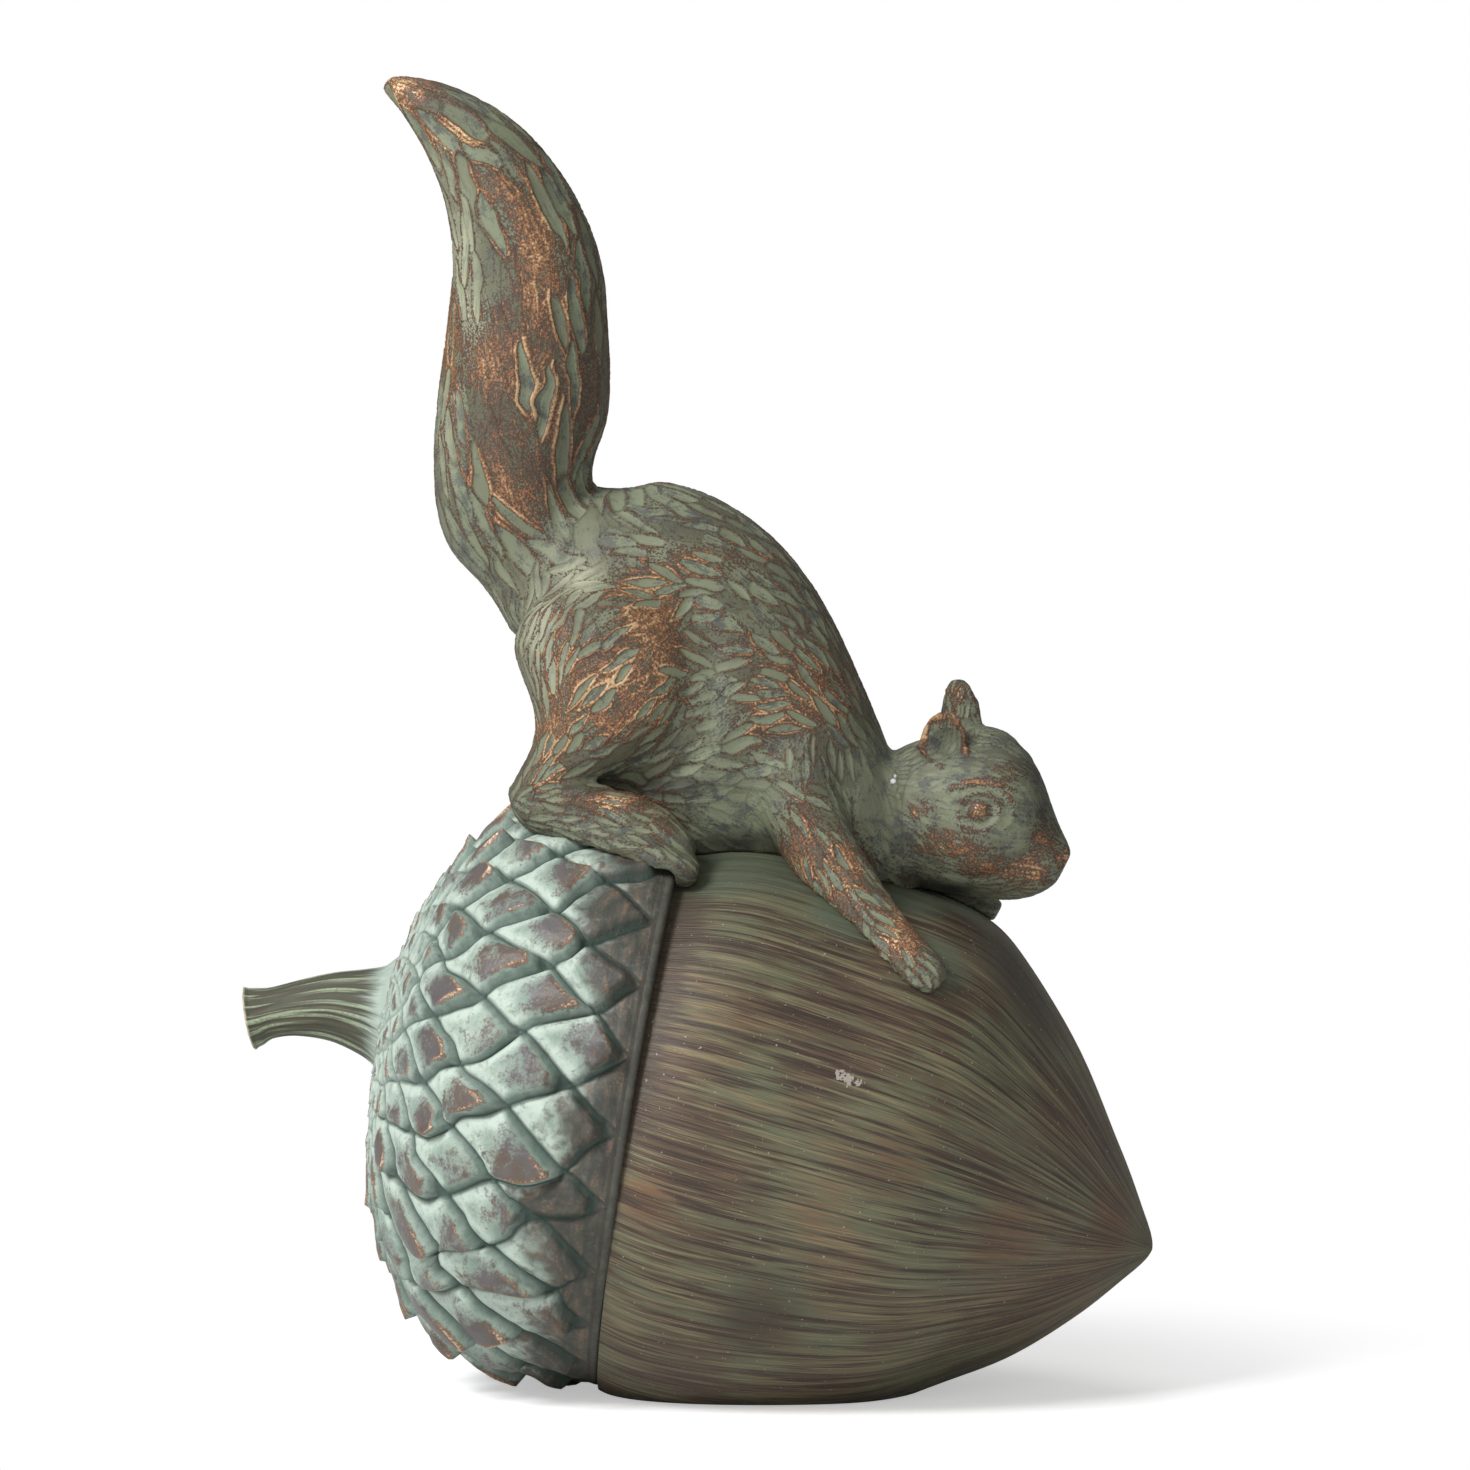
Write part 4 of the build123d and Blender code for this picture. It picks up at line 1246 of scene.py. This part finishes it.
STROKES = tuple(Stroke(*row) for row in (
    (((690, 600), (712, 650), (716, 705), (700, 745), (676, 775)), 4.2, -1.2),
    (((690, 765), (650, 786), (595, 792)), 2.2, -1.0),
    (((592, 488), (575, 540), (545, 600), (515, 636)), 2.6, -1.2),
    (((525, 798), (560, 792), (620, 797), (670, 815), (700, 845)), 2.6, 0.9),
    (((1066, 866), (1054, 878), (1040, 884)), 0.8, -0.6),
    (((1056, 858), (1061, 866), (1065, 859)), 0.8, -0.6),
    (((949, 790), (968, 783), (988, 778), (1000, 785)), 0.9, 0.55),
    (arc(979, 811, 15, 14, 0, 360), 0.7, -0.55),
    (arc(979, 811, 21, 18, -20, 200), 0.8, 0.45),
    (arc(980, 811, 27, 24, -10, 190), 0.7, -0.35),
    (arc(981, 811, 33, 28, -40, 130), 0.8, 0.35),
    (arc(979, 815, 20, 16, 200, 340), 0.8, 0.35),
    (((922, 748), (922, 728), (929, 716), (939, 713), (952, 718), (962, 732), (967, 752)), 1.0, 1.45),
    (((896, 790), (900, 815), (905, 850)), 0.7, -0.4),
    (((922, 748), (930, 760), (942, 767)), 0.9, 0.8),
    (((941, 728), (940, 710), (947, 690), (956, 679), (966, 688), (977, 703), (980, 722)), 0.9, 0.6, False),
    (((945, 872), (975, 878), (1005, 872)), 2.0, -0.5),
))

BOSSES = tuple(Boss(*row) for row in (
    (979, 811, 6.5, -0.5),
    (979, 811, 3.9, 1.5),
    (945, 742, 5.0, -2.2),
    (958, 708, 5.0, -1.0, False),
    (965, 858, 14.0, 0.8),
))

CHIPS = ((893, 781, 0.9), (895, 776, 0.5))


@dataclass
class Locks:
    """Locks of fur spread over a surface: seeds with a direction and a size each."""

    places: Array
    along: Array
    across: Array
    lengths: Array
    widths: Array
    homes: Array

    @staticmethod
    def scatter(
        places: Array, normals: Array, flow: Flow, tries: int, cell: float = 18.0 * MM, room: float = 0.66
    ) -> Locks:
        """Throw seeds on the surface, each kept clear of the ones before it.

        Args:
            places: Points of the surface.
            normals: Their normals.
            flow: Direction and size of the fur at each point.
            tries: How many points are tried.
            cell: Size of the cells in which neighbours are looked up, in metres.
            room: Square of the least distance between seeds, in lock sizes.

        Returns:
            The locks that were kept.
        """
        rng = np.random.default_rng(SEED)
        across = unit(np.cross(normals, flow.along))
        around = np.stack(np.meshgrid(*[[-1, 0, 1]] * 3), axis=-1).reshape(-1, 3)
        homes = np.floor(places / cell).astype(int)
        cells: dict[tuple[int, ...], list[int]] = {}
        kept: list[int] = []
        for index in rng.permutation(len(places))[:tries]:
            near = [seed for key in map(tuple, homes[index] + around) for seed in cells.get(key, ())]
            if near:
                offset = places[near] - places[index]
                u = offset @ flow.along[index] / flow.length[index]
                v = offset @ across[index] / flow.width[index]
                w = offset @ normals[index] / flow.width[index]
                if np.min(u * u + v * v + w * w) < room:
                    continue
            kept.append(index)
            cells.setdefault(tuple(homes[index]), []).append(index)
        chosen = np.array(kept)
        count = len(chosen)
        turn = rng.normal(0.0, 0.13, count)[:, None]
        along = unit(flow.along[chosen] * np.cos(turn) + across[chosen] * np.sin(turn))
        return Locks(
            places[chosen],
            along,
            unit(np.cross(normals[chosen], along)),
            flow.length[chosen] * rng.uniform(0.85, 1.2, count),
            flow.width[chosen] * rng.uniform(0.85, 1.15, count),
            chosen,
        )

    def read(self, points: Array, nearest: int = 16, batch: int = 50000) -> tuple[Array, ...]:
        """Compare each point with the locks around it.

        Args:
            points: Places to read at.
            nearest: How many seeds are compared.
            batch: How many points are compared at a time.

        Returns:
            Gap to the next lock, the own lock's number, and the place along and across it.
        """
        tree = KDTree(len(self.places))
        for index, place in enumerate(self.places):
            tree.insert(place, index)
        tree.balance()
        found = np.array([[hit[1] for hit in tree.find_n(point, nearest)] for point in points])
        gap = np.empty(len(points))
        own = np.empty(len(points), dtype=int)
        for start in range(0, len(points), batch):
            part = slice(start, start + batch)
            near = found[part]
            offset = points[part][:, None] - self.places[near]
            u = np.einsum("ijk,ijk->ij", offset, self.along[near]) / self.lengths[near]
            v = np.einsum("ijk,ijk->ij", offset, self.across[near]) / self.widths[near]
            square = np.einsum("ijk,ijk->ij", offset, offset)
            rest = square - (u * self.lengths[near]) ** 2 - (v * self.widths[near]) ** 2
            distance = np.sqrt(u * u + v * v + np.maximum(rest, 0.0) / self.widths[near] ** 2)
            order = np.argsort(distance, axis=1)[:, :2]
            rows = np.arange(len(near))
            gap[part] = distance[rows, order[:, 1]] - distance[rows, order[:, 0]]
            own[part] = near[rows, order[:, 0]]
        offset = points - self.places[own]
        u = np.einsum("ij,ij->i", offset, self.along[own]) / self.lengths[own]
        v = np.einsum("ij,ij->i", offset, self.across[own]) / self.widths[own]
        return gap, own, u, v


@dataclass
class Flow:
    """Direction of the fur and size of its locks at each point of a surface."""

    along: Array
    length: Array
    width: Array
    relief: Array

    @staticmethod
    def over(
        points: Array, normals: Array, lines: Sequence[FlowLine], spacing: int = 10, batch: int = 20000
    ) -> Flow:
        """Blend the drawn lines over a surface.

        Args:
            points: Places on the surface.
            normals: Their normals.
            lines: Lines drawn in pixels of the photograph.
            spacing: Pixels between samples of a line.
            batch: How many points are blended at a time.

        Returns:
            The flow at each point.
        """
        samples = []
        for line in lines:
            drawn = np.array(line.pixels, dtype=float)
            for start, end in zip(drawn[:-1], drawn[1:]):
                count = max(2, int(np.hypot(*(end - start)) / spacing))
                course = (end - start) / np.hypot(*(end - start))
                for share in (np.arange(count) + 0.5) / count:
                    place = start + (end - start) * share
                    samples.append((*place, *course, line.length, line.width, line.relief))
        table = np.array(samples)
        courses = table[:, 2:4]
        terms = np.column_stack([np.ones(len(table)), courses ** 2, courses.prod(axis=1), table[:, 4:]])
        columns, rows = PHOTO.project(points)
        sums = np.empty((len(points), terms.shape[1]))
        for start in range(0, len(points), batch):
            part = slice(start, start + batch)
            square = (columns[part, None] - table[:, 0]) ** 2 + (rows[part, None] - table[:, 1]) ** 2
            sums[part] = (1.0 / (square + 60.0) ** 2) @ terms
        angle = 0.5 * np.arctan2(2 * sums[:, 3], sums[:, 1] - sums[:, 2])
        course = np.cos(angle)[:, None] * PHOTO.right - np.sin(angle)[:, None] * PHOTO.above
        course = course - np.einsum("ij,ij->i", course, normals)[:, None] * normals
        sizes = sums[:, 4:] / sums[:, :1] * MM
        return Flow(unit(course + 1e-9), *sizes.T)


@dataclass
class Squirrel:
    """The squirrel: one carved skin over its CAD solids, parted again at their joints.

    Lengths are in millimetres. A leaf is the hollow in a lock of fur, with half sizes in shares
    of the lock's length and width, and its brink is the ridge around it. The head is seen at a
    column and at a row, each with its reach in pixels.
    """

    voxel: float = 1.25
    quick_voxel: float = 2.0
    joint_near: float = 1.0
    joint_far: float = 9.0
    skin_smooths: int = 5
    joint_smooths: int = 34
    tries: int = 60000
    wander: float = 2.4
    wander_cell: float = 6.0
    leaf_half: tuple[float, float] = (0.68, 0.41)
    leaf_point: float = 1.8
    leaf_edge: tuple[float, float] = (0.66, 0.96)
    leaf_gap: tuple[float, float] = (0.03, 0.16)
    brink_middle: float = 1.10
    brink_width: float = 0.20
    hollow: float = 0.62
    ridge: float = 0.42
    roughness: float = 0.16
    grit_cell: float = 1.6
    tint_cell: float = 12.0
    head_seen: tuple[tuple[float, float], tuple[float, float]] = ((990, 88), (830, 72))
    inturn: float = 1.5
    parts: tuple[str, ...] = (
        "torso", "head", "tail", "right_hind_leg", "left_hind_leg", "right_foreleg", "left_foreleg",
    )
    plugs: tuple[str, ...] = (
        "neck_dowel", "tail_dowel", "hip_dowels", "shoulder_dowels", "mounting_studs",
    )

    def gather(self, nodes: Nodes) -> Cast:
        """Join the solids and cover them with one even skin.

        Args:
            nodes: The CAD nodes by name.

        Returns:
            The skin.
        """
        joined = bmesh.new()
        for name in (*self.parts, *self.plugs):
            joined.from_mesh(nodes[name].data)
        for bulk in FLESH:
            add_flesh(joined, bulk)
        mesh = bpy.data.meshes.new("squirrel_form")
        joined.to_mesh(mesh)
        joined.free()
        cast = Cast("squirrel_form", mesh)
        size = self.voxel
        cast.apply("REMESH", mode="VOXEL", voxel_size=size * MM, use_smooth_shade=True)
        return cast

    def nearness(self, nodes: Nodes, points: Array) -> Array:
        """Measure how near the parts are.

        Args:
            nodes: The CAD nodes by name.
            points: Places of the skin.

        Returns:
            Distances, with one column for each part.
        """
        graph = bpy.context.evaluated_depsgraph_get()
        trees = [BVHTree.FromObject(nodes[name], graph) for name in self.parts]
        return np.array([[tree.find_nearest(point)[3] for tree in trees] for point in points])

    @staticmethod
    def strike(tree: BVHTree, column: float, row: float) -> Vector:
        """Find the point of a surface that a pixel sees.

        Args:
            tree: Search tree of the surface.
            column: Column of the pixel.
            row: Its row.

        Returns:
            The point, or the nearest one where the pixel misses.
        """
        hit = tree.ray_cast(Vector(PHOTO.place), Vector(PHOTO.ray(column, row)))[0]
        if hit is None:
            hit = tree.find_nearest(Vector(PHOTO.at(column, row, -20.0)))[0]
        return hit

    @staticmethod
    def mirrored(tree: BVHTree, line: Sequence[Vector]) -> list[Vector]:
        """The same line on the other side of the surface."""
        return [tree.find_nearest(Vector((p.x, -p.y, p.z)))[0] for p in line]

    @staticmethod
    def reach_to(points: Array, line: Sequence[Vector], limit: float) -> Array:
        """Measure how far points are from a line.

        Args:
            points: Places, one row each.
            line: Corners of the line.
            limit: Distance beyond which it no longer matters.

        Returns:
            The distances, or the limit where they are larger.
        """
        away = np.full(len(points), limit)
        for start, end in zip(line[:-1], line[1:]):
            first, last = np.array(start), np.array(end)
            low = np.minimum(first, last) - limit
            high = np.maximum(first, last) + limit
            near = np.nonzero(np.all((points > low) & (points < high), axis=1))[0]
            offset = points[near] - first
            course = last - first
            share = np.clip(offset @ course / max(course @ course, 1e-12), 0.0, 1.0)
            gap = np.linalg.norm(offset - share[:, None] * course, axis=1)
            away[near] = np.minimum(away[near], gap)
        return away

    def carve(self, cast: Cast) -> tuple[Array, Array]:
        """Press the drawn bosses, grooves and ridges into the skin.

        Args:
            cast: The skin.

        Returns:
            How far each point lies on a ridge, and how far on a chip of the paint.
        """
        tree = cast.tree()
        points = cast.points
        normals = cast.normals
        rise, crest, chip = np.zeros((3, len(points)))
        for boss in BOSSES:
            middles = [self.strike(tree, boss.column, boss.row)]
            if boss.both:
                middles += self.mirrored(tree, middles)
            for place in middles:
                away = np.linalg.norm(points - np.array(place), axis=1) / (boss.radius * MM)
                rise += boss.rise * MM * np.clip(1.0 - away ** 2, 0.0, 1.0)
        for stroke in STROKES:
            lines = [[self.strike(tree, *pixel) for pixel in stroke.pixels]]
            if stroke.both:
                lines.append(self.mirrored(tree, lines[0]))
            for line in lines:
                away = self.reach_to(points, line, stroke.width * 3 * MM) / (stroke.width * MM)
                swell = np.exp(-away ** 2) * (away < 2.9)
                rise += stroke.rise * MM * swell
                if stroke.width < 1.5 and stroke.rise > 0:
                    crest = np.maximum(crest, swell * min(1.0, stroke.rise * 1.4))
        for column, row, radius in CHIPS:
            place = np.array(self.strike(tree, column, row))
            away = np.linalg.norm(points - place, axis=1) / (radius * MM)
            chip = np.maximum(chip, 1.0 - smoothstep(0.7, 1.1, away))
        cast.points = points + normals * rise[:, None]
        return crest, chip

    def build(self, nodes: Nodes) -> None:
        """Model the squirrel and put its pieces in place of their CAD solids.

        Args:
            nodes: The CAD nodes by name.
        """
        cast = self.gather(nodes)
        log.info("squirrel skin: %d points", len(cast.points))
        away = self.nearness(nodes, cast.points)
        second = np.sort(away, axis=1)[:, 1]
        blend = 1.0 - smoothstep(self.joint_near * MM, self.joint_far * MM, second)
        cast.apply("SMOOTH", factor=0.5, iterations=self.skin_smooths)
        cast.weigh("joint", blend)
        cast.apply("SMOOTH", factor=0.5, iterations=self.joint_smooths, vertex_group="joint")
        cast.apply("SUBSURF", levels=1, subdivision_type="CATMULL_CLARK")
        crest, chip = self.carve(cast)
        points = cast.points
        normals = cast.normals
        columns, rows = PHOTO.project(points)
        # Channels of the painted patches: rubbed copper, painted shade and pale lime.
        tint = np.zeros((len(points), 3))
        for kind, patches in PATCHES.items():
            for patch in patches:
                tint[:, kind.value] += Patch(*patch).strength(columns, rows)
        uneven = 0.6 + 0.8 * lattice_noise(points, self.tint_cell * MM, 3)
        tint = np.clip(tint * uneven[:, None], 0.0, 1.2)
        calm = np.ones(len(points))
        for patch in CALMS:
            calm *= 1.0 - Patch(*patch).strength(columns, rows)
        flow = Flow.over(points, normals, FLOW)
        locks = Locks.scatter(points, normals, flow, self.tries)
        log.info("locks of fur: %d", len(locks.homes))
        wander = [lattice_noise(points, self.wander_cell * MM, seed) - 0.5 for seed in (7, 8, 9)]
        gap, own, u, v = locks.read(points + np.stack(wander, axis=1) * self.wander * MM)
        luck = np.random.default_rng(SEED + 1).random((3, len(locks.homes)))
        shown = np.clip((luck[1] - 0.06 - 0.46 * tint[locks.homes, 0]) / 0.12, 0.0, 1.0)[own]
        spread = (0.80 + 0.40 * luck[2])[own]
        long, wide = self.leaf_half
        lens = np.abs(v) / (wide * spread) + (np.abs(u) / (long * spread)) ** self.leaf_point
        leaf = (1.0 - smoothstep(*self.leaf_edge, lens)) * smoothstep(*self.leaf_gap, gap) * shown
        brink = np.exp(-((lens - self.brink_middle) / self.brink_width) ** 2) * (0.20 + 0.80 * shown)
        bowl = np.clip(1.0 - lens, 0.0, 1.0) ** 0.5
        carved = flow.relief * calm * (self.ridge * brink - self.hollow * leaf * bowl)
        grit = lattice_noise(points, self.grit_cell * MM, 15) - 0.5
        rough = grit * self.roughness * MM * calm * (1.0 - leaf)
        cast.points = points + normals * (carved + rough)[:, None]
        plain = np.clip(0.70 - 0.65 * tint[:, 0], 0.0, 1.0)
        self.part_pieces(cast, np.argmin(self.labels(cast, away), axis=1), {
            "leaf": leaf * calm + (1.0 - calm) * plain,
            "brink": np.clip(brink * calm + crest, 0.0, 1.0),
            "tone": luck[0][own] * (0.3 + 0.7 * calm) + 0.35 * (1.0 - calm),
            "tint": tint,
            "chip": chip,
            "grain": self.grain(points, np.stack([u * 3.0, v * 7.0, own * 0.73], axis=1)),
        })

    def grain(self, points: Array, fur: Array) -> Array:
        """Coordinates of the hairs.

        Args:
            points: Places of the skin.
            fur: Coordinates drawn out along each lock.

        Returns:
            The coordinates, level on the head, where the hairs are short.
        """
        seen = PHOTO.project(points)
        level = points * np.array([120.0, 260.0, 820.0]) + points[:, :1] * np.array([0.0, 0.0, 150.0])
        beat = sum(((place - middle) / reach) ** 4 for place, (middle, reach) in zip(seen, self.head_seen))
        return np.where((beat < 1.0)[:, None], level, fur)

    @staticmethod
    def labels(cast: Cast, away: Array) -> Array:
        """Spread rows along the edges.

        Args:
            cast: The finished skin.
            away: Distances to the parts at its first points.

        Returns:
            Distances to the parts at all its points.
        """
        count = len(cast.points)
        grown = np.empty((count, away.shape[1]))
        grown[: len(away)] = away
        mesh = cast.piece.data
        pairs = np.empty(len(mesh.edges) * 2, dtype=int)
        mesh.edges.foreach_get("vertices", pairs)
        first, second = pairs.reshape(-1, 2).T
        known = np.arange(count) < len(away)
        while not known.all():
            for source, goal in ((first, second), (second, first)):
                fresh = known[source] & ~known[goal]
                grown[goal[fresh]] = grown[source[fresh]]
                known[goal[fresh]] = True
        return grown

    @staticmethod
    def close_up(mesh: bpy.types.Mesh, depth: float) -> None:
        """Turn the rim of an open piece inward and close it there, under the skin.

        Args:
            mesh: The open piece.
            depth: How far the rim goes inward, in metres.
        """
        closing = bmesh.new()
        closing.from_mesh(mesh)
        rims = [edge for edge in closing.edges if edge.is_boundary]
        grown = bmesh.ops.extrude_edge_only(closing, edges=rims)["geom"]
        sunk = {item for item in grown if isinstance(item, bmesh.types.BMVert)}
        for vertex in sunk:
            above = next(edge.other_vert(vertex) for edge in vertex.link_edges
                         if edge.other_vert(vertex) not in sunk)
            vertex.co = above.co - above.normal * depth
        rims = [edge for edge in closing.edges if edge.is_boundary]
        bmesh.ops.holes_fill(closing, edges=rims, sides=0)
        closing.to_mesh(mesh)
        closing.free()

    def part_pieces(self, cast: Cast, parts: Array, fields: Mapping[str, Array]) -> None:
        """Part the skin at the joints and close each piece.

        Args:
            cast: The finished skin.
            parts: Number of the part that each point belongs to.
            fields: Values that each point carries.
        """
        mesh = cast.piece.data
        points = cast.points
        normals = cast.normals
        faces = [np.array(polygon.vertices) for polygon in mesh.polygons]
        owner = parts[[face[0] for face in faces]]
        for number, name in enumerate(self.parts):
            held = [faces[index] for index in np.nonzero(owner == number)[0]]
            used = np.unique(np.concatenate(held))
            renumber = np.full(len(points), -1)
            renumber[used] = np.arange(len(used))
            made = bpy.data.meshes.new(name + "_cast")
            made.from_pydata(points[used].tolist(), [], [renumber[face].tolist() for face in held])
            for key, values in fields.items():
                store(made, key, values[used])
            self.close_up(made, self.inturn * MM)
            made.shade_smooth()
            spare = np.zeros((len(made.vertices) - len(used), 3))
            made.normals_split_custom_set_from_vertices(np.concatenate([normals[used], spare]).tolist())
            hand_over(name + "_cast", made, FurPatina(), name)
        bpy.data.objects.remove(cast.piece)


@dataclass
class Hardware:
    """CAD nodes that keep their shape and get a finish."""

    finishes: tuple[tuple[Finish, tuple[str, ...]], ...] = (
        (PlainGrain("zinc_steel", (0.42, 0.43, 0.44), (0.62, 0.63, 0.62), 900.0, 1.0, 0.36, 0.03),
         ("stem_rod", "rod_washer", "rod_nut", "base_screws", "ballast_screws",
          "mounting_studs", "stud_washers", "stud_nuts")),
        (PlainGrain("dowel_wood", (0.44, 0.27, 0.13), (0.66, 0.46, 0.26), 700.0, 0.0, 0.62, 0.10,
                    (1.0, 1.0, 0.25)),
         ("neck_dowel", "tail_dowel", "hip_dowels", "shoulder_dowels")),
        (PlainGrain("plate_plastic", (0.020, 0.020, 0.020), (0.045, 0.045, 0.044), 1500.0, 0.0, 0.55, 0.05),
         ("base_plate",)),
        (PlainGrain("felt", (0.030, 0.050, 0.034), (0.070, 0.105, 0.072), 1800.0, 0.0, 0.95, 0.30),
         ("base_felt",)),
        (PlainGrain("iron", (0.050, 0.045, 0.042), (0.13, 0.11, 0.10), 500.0, 0.8, 0.60, 0.15),
         ("ballast_block",)),
        (NutPatina(), ("nut_shell",)),
    )

    def dress(self, nodes: Nodes) -> None:
        """Give each kept node its finish.

        Args:
            nodes: The CAD nodes by name.
        """
        for finish, names in self.finishes:
            for name in names:
                finish.dress(nodes[name])
                log.info("%s: finish %s", name, finish.name)


@dataclass(frozen=True)
class Lamp:
    """Soft square lamp aimed at the object."""

    name: str
    place: tuple[float, float, float]
    size: float
    power: float
    aim: tuple[float, float, float] = (0.0, 0.0, 0.22)

    def build(self) -> None:
        """Add the lamp."""
        data = bpy.data.lights.new(self.name, "AREA")
        data.shape = "SQUARE"
        data.size = self.size
        data.energy = self.power
        lamp = linked(self.name, data)
        lamp.location = self.place
        course = Vector(self.aim) - Vector(self.place)
        lamp.rotation_euler = course.to_track_quat("-Z", "Y").to_euler()


@dataclass
class Studio:
    """White floor, white surroundings and soft lamps."""

    lamps: tuple[Lamp, ...] = (
        Lamp("key_lamp", (-1.30, -1.30, 1.60), 0.8, 46.0),
        Lamp("front_lamp", (0.2, -2.3, 0.9), 1.4, 8.0),
        Lamp("top_lamp", (-0.3, 0.6, 2.1), 1.2, 8.0),
    )
    surround: float = 0.24
    reach: float = 9.0
    white: Colour = (1.0, 1.0, 1.0)
    matt: Colour = (0.90, 0.90, 0.90)
    lift: Colour = (0.45, 0.45, 0.45)

    def build(self) -> None:
        """Add the lamps, the surroundings and the floor."""
        for lamp in self.lamps:
            lamp.build()
        world = bpy.data.worlds.new("studio")
        bpy.context.scene.world = world
        world.use_nodes = True
        graph = Graph(world.node_tree)
        straight = graph.node("ShaderNodeLightPath", {}, {}, "Is Camera Ray")
        through = graph.node("ShaderNodeLightPath", {}, {}, "Is Transmission Ray")
        level = straight.peak(through) * (1.0 - self.surround) + self.surround
        sky = graph.node("ShaderNodeBackground", {}, {"Color": self.white, "Strength": level})
        graph.close("ShaderNodeOutputWorld", sky)
        self.floor()

    def floor(self) -> None:
        """Add the floor, white to the camera and darker where the object shades it."""
        mesh = bpy.data.meshes.new("studio_floor")
        corners = [(x * self.reach, y * self.reach, 0) for x, y in ((-1, -1), (1, -1), (1, 1), (-1, 1))]
        mesh.from_pydata(corners, [], [(0, 1, 2, 3)])
        floor = linked("studio_floor", mesh)
        paint = bpy.data.materials.new("studio_floor")
        paint.use_nodes = True
        graph = Graph(paint.node_tree)
        seen = graph.node("ShaderNodeLightPath", {}, {}, "Is Camera Ray")
        away = graph.along("LENGTH", graph.place(), output="Value")
        matt = graph.node("ShaderNodeBsdfDiffuse", {}, {"Color": self.matt})
        glow = graph.node("ShaderNodeEmission", {}, {"Color": self.white, "Strength": 1.0})
        lift = graph.node("ShaderNodeEmission", {}, {"Color": self.lift, "Strength": seen})
        near = graph.node("ShaderNodeAddShader", {}, {0: matt, 1: lift})
        share = seen * away.rise(0.14, 0.30)
        mixed = graph.node("ShaderNodeMixShader", {}, {0: share, 1: near, 2: glow})
        graph.close("ShaderNodeOutputMaterial", mixed)
        mesh.materials.append(paint)


def main() -> None:
    """Build the scene in order and note its sizes."""
    logging.basicConfig(level=logging.INFO, format="%(message)s")
    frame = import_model()
    nodes = frame["nodes"]
    PHOTO.build()
    Studio().build()
    Cap().build()
    Stem().build()
    Squirrel().build(nodes)
    Hardware().dress(nodes)
    bpy.context.scene.view_settings.view_transform = "Standard"


if __name__ == "__main__":
    main()
